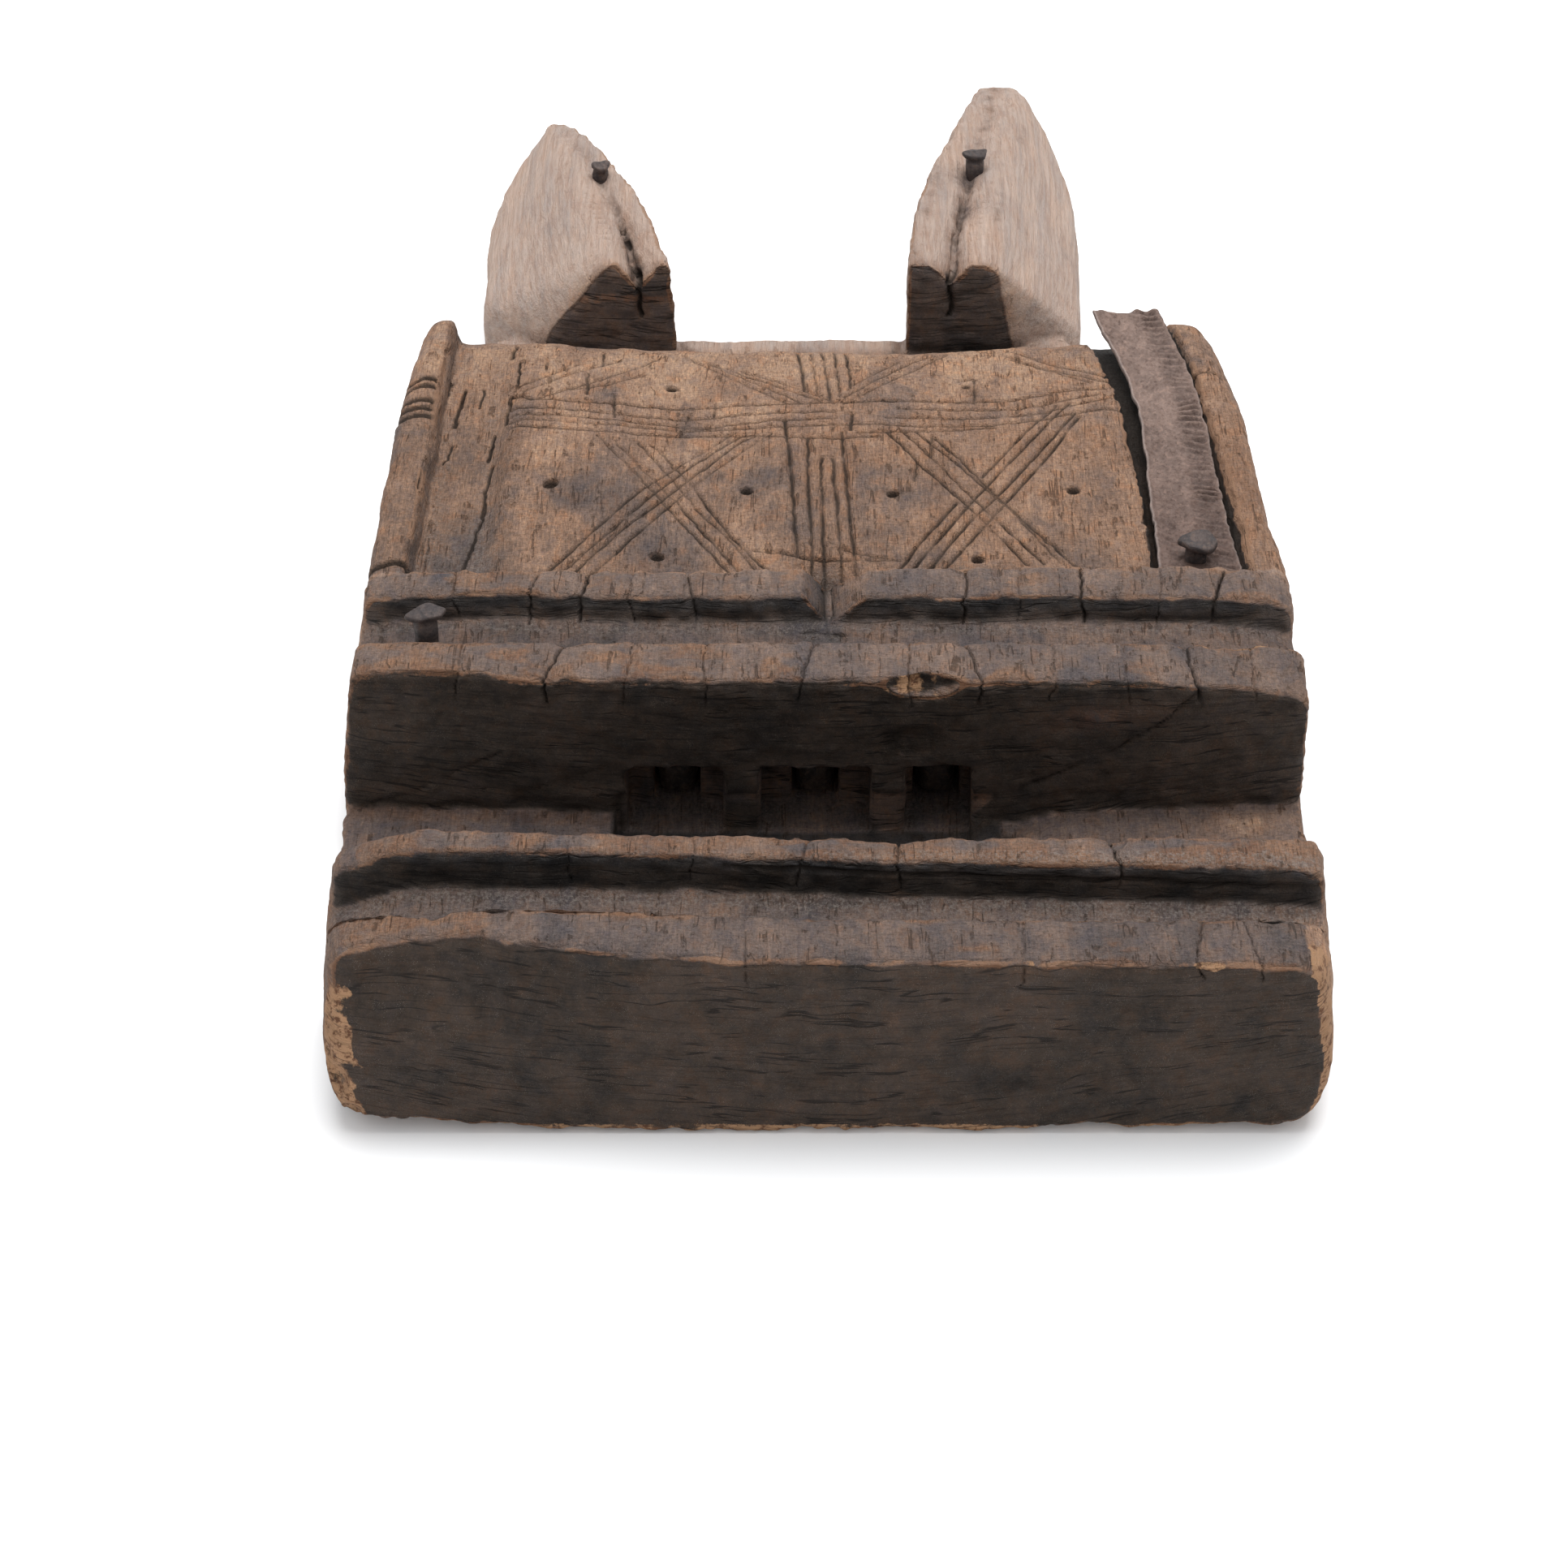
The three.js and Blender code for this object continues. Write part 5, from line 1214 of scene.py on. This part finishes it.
    # warm and cool drifts
    base = k.mix(k.math("MULTIPLY", k.span(cloud2, 0.50, 0.64), 0.55), base, (1.18, 0.94, 0.74), "MULTIPLY")
    base = k.mix(k.math("MULTIPLY", k.span(cloud2, 0.49, 0.36), 0.75), base, (0.80, 0.86, 0.98), "MULTIPLY")
    base = k.mix(k.math("MULTIPLY", k.span(tint, 0.46, 0.25), 0.60), base, (0.72, 0.84, 1.02), "MULTIPLY")
    base = k.mix(k.math("MULTIPLY", cool, 0.85), base, (0.84, 0.96, 1.14), "MULTIPLY")
    flame = k.math("MULTIPLY", warm, k.span(cloud3, 0.34, 0.58))
    base = k.mix(k.math("MULTIPLY", flame, k.span(pat, 0.05, 0.40, 0.22, 0.62)), base, k.mix(k.span(pat, 0.2, 0.7), (0.345, 0.185, 0.105), (0.235, 0.105, 0.055)))
    ringtone = k.math("MULTIPLY", k.span(rings, 0.42, 0.60), k.math("ADD", k.math("MULTIPLY", end, 0.20), 0.12))
    base = k.mix(ringtone, base, (0.72, 0.70, 0.70), "MULTIPLY")
    base = k.mix(k.math("MULTIPLY", k.span(fine, 0.50, 0.38), k.math("MULTIPLY", streak, 0.60)), base, (0.58, 0.52, 0.48), "MULTIPLY")
    base = k.mix(k.math("MULTIPLY", k.span(fine, 0.52, 0.63), k.math("MULTIPLY", streak, 0.62)), base, (1.38, 1.30, 1.18), "MULTIPLY")
    base = k.mix(k.math("MULTIPLY", k.span(dash, 0.48, 0.37), k.math("MULTIPLY", dashed, 0.55)), base, (0.58, 0.53, 0.50), "MULTIPLY")
    base = k.mix(k.math("MULTIPLY", k.span(dash, 0.54, 0.66), k.math("MULTIPLY", dashed, 0.42)), base, (1.40, 1.30, 1.20), "MULTIPLY")
    fleck = k.noise((1.9, 1.5, 1.9), 1.0, 3, 0.7, move=(1, 9, 4))
    base = k.mix(k.math("MULTIPLY", k.span(fleck, 0.58, 0.68), 0.55), base, (1.55, 1.42, 1.28), "MULTIPLY")
    base = k.mix(k.math("MULTIPLY", k.span(fleck, 0.42, 0.33), k.math("MULTIPLY", dashed, 0.60)), base, (0.55, 0.50, 0.50), "MULTIPLY")
    base = k.mix(k.math("MULTIPLY", k.span(pores, 0.20, 0.09), k.math("MULTIPLY", streak, 0.50)), base, (0.40, 0.36, 0.34), "MULTIPLY")
    # paler, silvered ears: weathered grey wood, paler still as a painted highlight of light glancing from behind
    silver = k.mix(k.span(fibre, 0.34, 0.66), (0.455, 0.335, 0.278), (0.620, 0.503, 0.440))
    weathered = k.noise((0.30, 0.022, 0.24), 1.0, 3, 0.55, 0.3, move=(4, 1, 6))
    silver = k.mix(k.math("MULTIPLY", k.span(weathered, 0.50, 0.62), 0.60), silver, (0.78, 0.86, 0.94), "MULTIPLY")
    silver = k.mix(k.math("MULTIPLY", k.span(weathered, 0.46, 0.36), 0.60), silver, (1.14, 1.06, 1.0), "MULTIPLY")
    base = k.mix(k.math("MULTIPLY", ear, k.span(pat, 0.50, 0.12, 0.0, 0.72)), base, silver)
    # worn edges, warm where the dark skin has gone
    worn = k.math("ADD", wear, k.math("MULTIPLY", k.math("SUBTRACT", k.noise((1.1, 0.9, 1.1), 1.0, 5, 0.75), 0.5), 1.1))
    worn = k.span(worn, 0.42, 0.72)
    edge_tone = k.mix(k.span(pat, 0.30, 0.75), (0.36, 0.205, 0.125), (0.250, 0.118, 0.062))
    base = k.mix(k.math("MULTIPLY", worn, 0.72), base, edge_tone)
    broken = k.math("ADD", raw, k.math("MULTIPLY", k.math("SUBTRACT", k.noise((1.3, 1.3, 1.3), 1.0, 5, 0.75), 0.5), 1.0))
    broken = k.span(broken, 0.42, 0.66)
    base = k.mix(k.math("MULTIPLY", broken, 0.90), base, k.mix(k.span(cloud3, 0.36, 0.52), (0.150, 0.062, 0.030), (0.50, 0.285, 0.155)))
    # dust and lint
    settled = k.math("MULTIPLY", dust, k.span(k.noise((1.6, 1.6, 1.6), 1.0, 5, 0.8), 0.46, 0.62))
    base = k.mix(k.math("MULTIPLY", settled, 0.60), base, (0.33, 0.285, 0.25))
    dot = k.math("MULTIPLY", k.span(specks, 0.20, 0.11), k.span(k.noise((0.55, 0.55, 0.55), 1.0, 2, 0.5), 0.47, 0.60))
    base = k.mix(k.math("MULTIPLY", dot, k.math("ADD", k.math("MULTIPLY", dust, 0.5), k.math("ADD", 0.36, k.math("MULTIPLY", face, 0.14)))), base, (0.50, 0.44, 0.38))
    # cuts and cracks hold dirt; cut also carries painted shade in the ears' valleys and painted shadow next to the
    # strap, and the last mix is painted shade where the surface is hemmed in
    base = k.mix(k.math("MULTIPLY", k.span(cut, 0.05, 0.85), 0.86), base, (0.030, 0.022, 0.017))
    base = k.mix(k.math("MULTIPLY", checks, 0.80), base, (0.012, 0.008, 0.006))
    base = k.mix(k.math("MULTIPLY", hair, 0.55), base, (0.040, 0.026, 0.018))
    base = k.mix(k.span(shade, 0.55, 0.05, 0.0, 0.75), base, (0.30, 0.27, 0.25), "MULTIPLY")
    rough = k.math("ADD", k.span(pat, 0.2, 0.95, 0.86, 0.64), k.math("MULTIPLY", k.math("SUBTRACT", grit, 0.5), 0.40), clamp=True)
    height = k.math("ADD", k.math("MULTIPLY", grain, k.math("SUBTRACT", 0.75, k.math("MAXIMUM", k.math("MULTIPLY", end, 0.58), k.math("MULTIPLY", face, 0.71)))), k.math("MULTIPLY", fine, k.math("MULTIPLY", streak, 0.45)))
    height = k.math("ADD", height, k.math("MULTIPLY", k.span(pores, 0.0, 0.20), k.math("MULTIPLY", along, 0.18)))
    height = k.math("ADD", height, k.math("MULTIPLY", dash, k.math("MULTIPLY", dashed, 0.42)))
    height = k.math("ADD", height, k.math("MULTIPLY", grit, 0.42))
    height = k.math("SUBTRACT", height, k.math("MULTIPLY", k.math("MAXIMUM", checks, hair), 0.5))
    normal = k.bump(height, 0.0015, 1.0)
    k.shader(Base_Color=base, Roughness=rough, Normal=normal)
    k.bsdf.inputs["Specular IOR Level"].default_value = 0.20
    return k.mat


def iron_material(name, dark, brown, light, rough_lo, rough_hi, dustiness, scale=1.0):
    k = Nodes(name)
    flow = k.noise((0.35 * scale, 0.20 * scale, 0.35 * scale), 1.0, 4, 0.62, 0.5)
    scale_pits = k.noise((1.6, 1.3, 1.6), 1.0, 5, 0.7)
    grit = k.noise((4.5, 4.5, 4.5), 1.0, 3, 0.65)
    specks, _ = k.cells((1.15, 1.15, 1.15))
    rust = k.noise((0.8, 0.6, 0.8), 1.0, 5, 0.7, 0.8)
    base = k.mix(k.span(flow, 0.38, 0.62), dark, brown)
    base = k.mix(k.math("MULTIPLY", k.span(rust, 0.52, 0.66), 0.55), base, light)
    base = k.mix(k.math("MULTIPLY", k.span(scale_pits, 0.50, 0.34), 0.55), base, (0.45, 0.42, 0.43), "MULTIPLY")
    base = k.mix(k.math("MULTIPLY", k.span(grit, 0.55, 0.72), 0.30), base, (1.45, 1.35, 1.25), "MULTIPLY")
    dot = k.math("MULTIPLY", k.span(specks, 0.17, 0.09), k.span(flow, 0.45, 0.60))
    base = k.mix(k.math("MULTIPLY", dot, dustiness), base, (0.42, 0.36, 0.31))
    if name == "strap_iron":
        # on the strap: darker toward its near end (low), darker in the scallops' troughs (hollow), and a painted
        # highlight, lighter bands along its edges (rim)
        base = k.mix(k.math("MULTIPLY", k.attr("low"), 0.85), base, (0.60, 0.54, 0.52), "MULTIPLY")
        base = k.mix(k.math("MULTIPLY", k.attr("hollow"), 0.90), base, (0.42, 0.38, 0.38), "MULTIPLY")
        base = k.mix(k.math("MULTIPLY", k.attr("rim"), 0.36), base, (0.36, 0.31, 0.29))
    rough = k.span(scale_pits, 0.3, 0.7, rough_hi, rough_lo)
    metal = k.span(rust, 0.35, 0.62, 0.30 if name == "nail_iron" else 0.55, 0.10)
    height = k.math("ADD", k.math("MULTIPLY", scale_pits, 0.8), k.math("MULTIPLY", grit, 0.3))
    k.shader(Base_Color=base, Roughness=rough, Metallic=metal, Normal=k.bump(height, 0.00030, 0.8))
    return k.mat


# ------------------------------------------------------------------ the iron strap
def strap_object(material):
    mid = [(101.6, 58.0, 72.2, 31.2), (106, 58.0, 71.8, 31.6), (113, 58.0, 71.2, 31.9), (130, 57.9, 70.4, 32.5), (155, 57.7, 69.6, 33.3), (170, 54.9, 68.0, 34.4), (178, 52.4, 66.2, 35.7), (184.5, 50.6, 64.6, 37.0)]
    left = table([(r[0], r[1]) for r in mid], 3)
    right = table([(101.2, 73.3), (106, 72.8), (113, 72.1), (130, 71.0), (155, 70.0), (170, 67.9), (178, 65.6), (184.5, 63.5)], 3)
    height = table([(r[0], r[3]) for r in mid], 4)
    U = np.linspace(101.75, 184.2, 340)
    S = np.linspace(0, 1, 72)
    u, s = (a.astype(F) for a in np.meshgrid(U, S, indexing="ij"))
    jag = 0.35 * noise3(u / 3.1, 0.5, 0.5, 201) + 0.18 * noise3(u / 1.1, 0.5, 0.5, 202)
    jag2 = 0.45 * noise3(u / 2.6, 3.5, 0.5, 203) + 0.20 * noise3(u / 0.9, 3.5, 0.5, 204)
    xl, xr = left(u) + 0.25 + jag, right(u) - 0.3 + jag2
    x = xl + (xr - xl) * s
    # the far end is torn: pointed right corner, hollow middle, curled left corner
    pull = step(176, 184.2, u)
    u2 = u - pull * (2.6 * np.exp(-(((s - 0.42) / 0.20) ** 2)) + 1.0 * np.exp(-(((s - 0.8) / 0.10) ** 2)) + 0.6 * noise3(s * 9, 0.5, 0.5, 205) + 0.3 + 1.9 * np.exp(-((s / 0.10) ** 2)))
    z = height(u)
    # hammered scallops along each side, smoother down the middle
    k = 2 * math.pi / 1.85
    wave = np.sin(k * (u - 9.0 * (s - 0.86) ** 2 + 1.1 * noise3(u / 5, s * 2, 0.5, 206) + 0.4 * noise3(u / 1.6, s * 5, 0.5, 216)))
    wave = wave * (0.55 + 0.6 * noise3(u / 2.2, s * 2.5, 0.5, 217))
    right_band = step(0.50, 0.72, s) * step(1.0, 0.90, s)
    left_band = step(0.34, 0.20, s) * step(0.0, 0.08, s) * step(0.25, 0.6, 0.5 + 0.5 * noise3(u / 9, 0.5, 0.5, 207))
    z = z + 0.62 * wave * right_band + 0.40 * wave * left_band
    z = z + 0.22 * fbm(x / 4.5, u / 4.5, 0.5, 208, 3) + 0.10 * noise3(x / 1.1, u / 1.1, 0.5, 209)
    z = z - 0.55 * (s - 0.5) ** 2 * 2.0 + 0.50 * step(0.93, 1.0, s) * (0.5 + noise3(u / 5, 0.5, 1.5, 210)) + 0.50 * step(0.08, 0.0, s)
    curl = step(179.5, 184.2, u)
    z = z + curl * (0.6 * np.exp(-(((s - 0.02) / 0.14) ** 2)) + 0.5 * np.exp(-(((s - 0.42) / 0.16) ** 2)) - 0.3)
    edge_thin = np.minimum(np.minimum(s, 1 - s) / 0.05, 1.0)
    half = 0.42 + 0.25 * np.sqrt(np.clip(edge_thin, 0, 1))
    end = np.clip(np.minimum(u - U[0], U[-1] - u) / 0.8, 0, 1)
    half = half * (0.55 + 0.45 * np.sqrt(end))
    top = np.stack([x, u2, z + half * 0.9], -1)
    low = np.stack([x, u2, z - half], -1)
    nu_, ns = u.shape
    n = nu_ * ns
    V = np.concatenate([top.reshape(-1, 3), low.reshape(-1, 3)])
    i, j = np.meshgrid(np.arange(nu_ - 1), np.arange(ns - 1), indexing="ij")
    a = (i * ns + j).ravel()
    q = np.stack([a, a + 1, a + ns + 1, a + ns], 1)
    faces = [q, q[:, ::-1] + n]
    rim = np.concatenate([np.arange(ns), ns * np.arange(1, nu_) + ns - 1, (nu_ - 1) * ns + np.arange(ns - 2, -1, -1), ns * np.arange(nu_ - 2, 0, -1)])
    nxt = np.roll(rim, -1)
    faces.append(np.stack([rim, rim + n, nxt + n, nxt], 1))
    faces = np.concatenate(faces)
    R = to_row(V)
    lo, hi = (np.array(v) for v in (cad_lo, cad_hi))
    R = np.clip(R, lo + 5e-5, hi - 5e-5)
    mesh = bpy.data.meshes.new("hammered_strap")
    mesh.from_pydata(R.tolist(), [], faces.tolist())
    mesh.polygons.foreach_set("use_smooth", np.ones(len(mesh.polygons), bool))
    hollow = np.clip(0.5 - 0.5 * wave, 0, 1) * (right_band + 0.8 * left_band)
    # painted highlight: lighter bands along the strap's edges
    rim_light = step(0.045, 0.0, s) + 0.8 * step(0.965, 1.0, s) * step(175, 160, u)
    near_end = step(160, 112, u) * step(101.5, 107, u)
    for label, v in (("hollow", hollow), ("rim", rim_light), ("low", near_end)):
        mesh.attributes.new(label, "FLOAT", "POINT").data.foreach_set("value", np.tile(np.clip(v, 0, 1).ravel(), 2).astype(F))
    mesh.materials.append(material)
    ob = bpy.data.objects.new("hammered_strap", mesh)
    bpy.context.scene.collection.objects.link(ob)
    return ob


# ------------------------------------------------------------------ forged bars: nails and tumblers
def loft(name, rings, material, dent=0.0, seed=0):
    """Closed surface through rings of equal length (each an array of points in millimetres), capped at both ends."""
    m = len(rings[0])
    V = np.concatenate(rings)
    if dent:
        N = V - np.repeat(np.stack([r.mean(0) for r in rings]), m, 0)
        N /= np.maximum(np.linalg.norm(N, axis=1), 1e-6)[:, None]
        V = V + N * (dent * fbm(V[:, 0] / 1.7, V[:, 1] / 1.7, V[:, 2] / 1.7, seed, 2))[:, None]
    faces = []
    for r in range(len(rings) - 1):
        for i in range(m):
            j = (i + 1) % m
            faces.append((r * m + i, r * m + j, (r + 1) * m + j, (r + 1) * m + i))
    for r, flip in ((0, True), (len(rings) - 1, False)):
        c = len(V)
        V = np.concatenate([V, V[r * m : (r + 1) * m].mean(0)[None]])
        for i in range(m):
            j = (i + 1) % m
            faces.append((c, r * m + j, r * m + i) if flip else (c, r * m + i, r * m + j))
    mesh = bpy.data.meshes.new(name)
    mesh.from_pydata(to_row(V).tolist(), [], faces)
    bm = bmesh.new()
    bm.from_mesh(mesh)
    bmesh.ops.recalc_face_normals(bm, faces=bm.faces)
    bm.to_mesh(mesh)
    bm.free()
    mesh.polygons.foreach_set("use_smooth", np.ones(len(mesh.polygons), bool))
    mesh.materials.append(material)
    ob = bpy.data.objects.new(name, mesh)
    bpy.context.scene.collection.objects.link(ob)
    return ob


def nail(name, x, u, hx, hu, z_head, z_top, shank, z_point, turn, material, seed, corners=7, dome=0.35):
    """A hand-forged nail: square tapering shank, flat faceted head struck down at the rim."""
    m = 48
    t = 2 * math.pi * np.arange(m) / m
    rng = np.random.RandomState(seed)
    spokes = np.sort(2 * math.pi * (np.arange(corners) + 0.55 * rng.rand(corners)) / corners)
    reach = 1 - 0.10 * rng.rand(corners)

    def outline(turned=0.0):
        # straight chords between the blows' corners
        px, pu = reach * np.cos(spokes), reach * np.sin(spokes)
        out = np.zeros(m)
        for a in range(corners):
            b = (a + 1) % corners
            x1, y1, x2, y2 = px[a], pu[a], px[b], pu[b]
            d = np.cos(t) * (y2 - y1) - np.sin(t) * (x2 - x1)
            s = (x1 * (y2 - y1) - y1 * (x2 - x1)) / np.where(np.abs(d) < 1e-9, 1e-9, d)
            along = np.where(np.abs(x2 - x1) > np.abs(y2 - y1), (s * np.cos(t) - x1) / (x2 - x1 + 1e-12), (s * np.sin(t) - y1) / (y2 - y1 + 1e-12))
            ok = (s > 0) & (along >= -1e-6) & (along <= 1 + 1e-6)
            out = np.where(ok, s, out)
        out = np.where(out <= 0, 0.9, out)
        return (np.roll(out, 1) + 2 * out + np.roll(out, -1)) / 4

    o = outline()
    c, s = math.cos(turn), math.sin(turn)

    def head(k, z, dip=0.0, wob=0.0):
        a, b = k * o * hx * np.cos(t), k * o * hu * np.sin(t)
        zz = z - dip * (a * a / hx**2 + b * b / hu**2) + wob * np.sin(2 * t + seed) * k
        return np.stack([x + c * a - s * b, u + s * a + c * b, zz], 1)

    def square(h, z, dx=0.0):
        p = (np.abs(np.cos(t)) ** 4 + np.abs(np.sin(t)) ** 4) ** -0.25
        a, b = h * p * np.cos(t + 0.0), h * p * np.sin(t)
        return np.stack([x + dx + c * a - s * b, u + s * a + c * b, np.full(m, z)], 1)

    rings = [square(0.35 * shank * 0.6, z_point)]
    for f in np.linspace(0.04, 1, 14):
        z = z_point + (z_head - 0.05 - z_point) * f
        rings.append(square(shank * (0.40 + 0.60 * f**0.7), z, 0.12 * math.sin(5 * f)))
    th = z_top - z_head
    w = 0.14 * th
    rings += [head(shank * 1.1 / hx, z_head + 0.40 * th), head(0.80, z_head + 0.46 * th, 0, w), head(0.955, z_head + 0.50 * th, 0, w), head(1.0, z_head + 0.60 * th, 0, w), head(1.0, z_head + 0.76 * th, 0, w), head(0.975, z_head + 0.87 * th, 0, w), head(0.91, z_head + 0.925 * th, 0, w), head(0.72, z_head + 0.955 * th, 0, w * 0.8), head(0.42, z_head + 0.975 * th, 0, w * 0.4), head(0.15, z_head + 0.98 * th)]
    return loft(name, rings, material, 0.14, 300 + seed)


def tumbler(name, xc, material, seed):
    """A forged tumbler: a bar with a blunt nose and a wider head, lying along the case."""
    z0, z1 = 4.0, 11.5
    m = 56
    t = 2 * math.pi * np.arange(m) / m

    def ring(u, hw, za, zb):
        p = (np.abs(np.cos(t)) ** 7 + np.abs(np.sin(t)) ** 7) ** (-1 / 7)
        zc, hz = (za + zb) / 2, (zb - za) / 2
        return np.stack([xc + hw * p * np.cos(t), np.full(m, u), zc + hz * p * np.sin(t)], 1)

    prof = [(77.7, 1.6, 5.6, 9.6), (78.0, 2.1, 5.2, 10.2), (78.8, 2.7, 4.7, 10.9), (80.2, 3.15, 4.35, 11.3), (81.6, 3.30, 4.2, 11.4)]
    rings = [ring(*p) for p in prof]
    for u in np.linspace(83, 103.2, 26):
        rings.append(ring(u, 3.30 - 0.05 * math.sin(u * 0.7 + seed), 4.2, 11.35))
    rings += [ring(103.9, 3.5, 4.2, 11.35), ring(104.15, 5.9, 4.2, 11.35), ring(104.35, 6.55, 4.15, 11.38), ring(104.8, 6.8, 4.1, 11.4)]
    rings += [ring(u, 6.82, 4.1, 11.4) for u in np.linspace(105.4, 108.8, 6)]
    rings += [ring(109.3, 6.75, 4.15, 11.35), ring(109.7, 6.3, 4.4, 11.1), ring(109.85, 5.2, 5.0, 10.5), ring(109.9, 3.0, 6.0, 9.5)]
    return loft(name, rings, material, 0.09, 400 + seed)


# ------------------------------------------------------------------ build
wood = wood_material()
strap_iron = iron_material("strap_iron", (0.132, 0.087, 0.070), (0.175, 0.117, 0.094), (0.25, 0.155, 0.115), 0.50, 0.78, 0.55)
nail_iron = iron_material("nail_iron", (0.030, 0.023, 0.023), (0.060, 0.042, 0.037), (0.110, 0.068, 0.050), 0.50, 0.78, 0.30)
tumbler_iron = iron_material("tumbler_iron", (0.030, 0.024, 0.022), (0.060, 0.040, 0.030), (0.11, 0.060, 0.036), 0.50, 0.80, 0.20)

case = case_object(wood)
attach(case, "case")
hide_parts("lock_case")

strap = strap_object(strap_iron)
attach(strap, "case")
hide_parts("iron_strap")

for i, (name, *v) in enumerate([
    ("groove_nail", -66.8, 84.2, 4.0, 2.6, 36.9, 38.9, 1.9, 1.5, 0.35),
    ("strap_nail", 65.0, 109.0, 3.95, 3.15, 33.6, 36.3, 1.9, 1.5, -0.1),
    ("left_ear_nail", -45.4, 239.8, 2.2, 2.0, 35.0, 37.2, 1.5, 3.0, -0.26),
    ("right_ear_nail", 30.9, 242.0, 3.0, 2.2, 36.6, 38.6, 1.8, 3.0, 0.14),
]):
    ob = nail("forged_" + name, *v, nail_iron, 11 + i, corners=(5, 8, 6, 5)[i])
    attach(ob, "case")
    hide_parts(name)

for name, body, node, xc, seed in (("forged_tumbler_left", "tumbler_a", "tumbler_left", -25.2, 1), ("forged_tumbler_middle", "tumbler_b", "tumbler_middle", -1.5, 2), ("forged_tumbler_right", "tumbler_c", "tumbler_right", 19.3, 3)):
    ob = tumbler(name, xc, tumbler_iron, seed)
    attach(ob, body)
    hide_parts(node)

# ------------------------------------------------------------------ floor, light, camera
mesh = bpy.data.meshes.new("floor")
mesh.from_pydata([(-4, -4, 0), (4, -4, 0), (4, 4, 0), (-4, 4, 0)], [], [(0, 1, 2, 3)])
floor = bpy.data.objects.new("floor", mesh)
bpy.context.scene.collection.objects.link(floor)
kit = Nodes("pale_floor")
kit.shader(Base_Color=(0.93, 0.93, 0.935), Roughness=0.62)
kit.bsdf.inputs["Specular IOR Level"].default_value = 0.25
mesh.materials.append(kit.mat)

world = bpy.data.worlds.new("studio")
bpy.context.scene.world = world
world.use_nodes = True
world.node_tree.nodes["Background"].inputs[0].default_value = (0.97, 0.985, 1.0, 1)
world.node_tree.nodes["Background"].inputs[1].default_value = 0.84


def area(name, at, size, energy, colour=(1, 1, 1), aim=(0, 0, 0.02)):
    data = bpy.data.lights.new(name, "AREA")
    data.energy = energy
    data.shape = "DISK"
    data.size = size
    data.color = colour
    ob = bpy.data.objects.new(name, data)
    ob.location = at
    ob.rotation_mode = "QUATERNION"
    ob.rotation_quaternion = (Vector(aim) - Vector(at)).to_track_quat("-Z", "Y")
    bpy.context.scene.collection.objects.link(ob)
    return ob


area("overhead", (0.10, 0.18, 1.20), 1.0, 17.6)

cam = bpy.data.cameras.new("view")
cam.sensor_width = 36.0
cam.lens = 78.26
cam.shift_x = -49 / 1932
cam.clip_start = 0.01
cam.clip_end = 50
eye = bpy.data.objects.new("view", cam)
eye.location = (-0.0002, -0.145 - 0.37605, 0.3782)
eye.rotation_euler = (math.radians(50.7), 0, 0)
bpy.context.scene.collection.objects.link(eye)
bpy.context.scene.camera = eye
bpy.context.scene.view_settings.view_transform = "Standard"
bpy.context.scene.view_settings.look = "None"
bpy.context.view_layer.update()
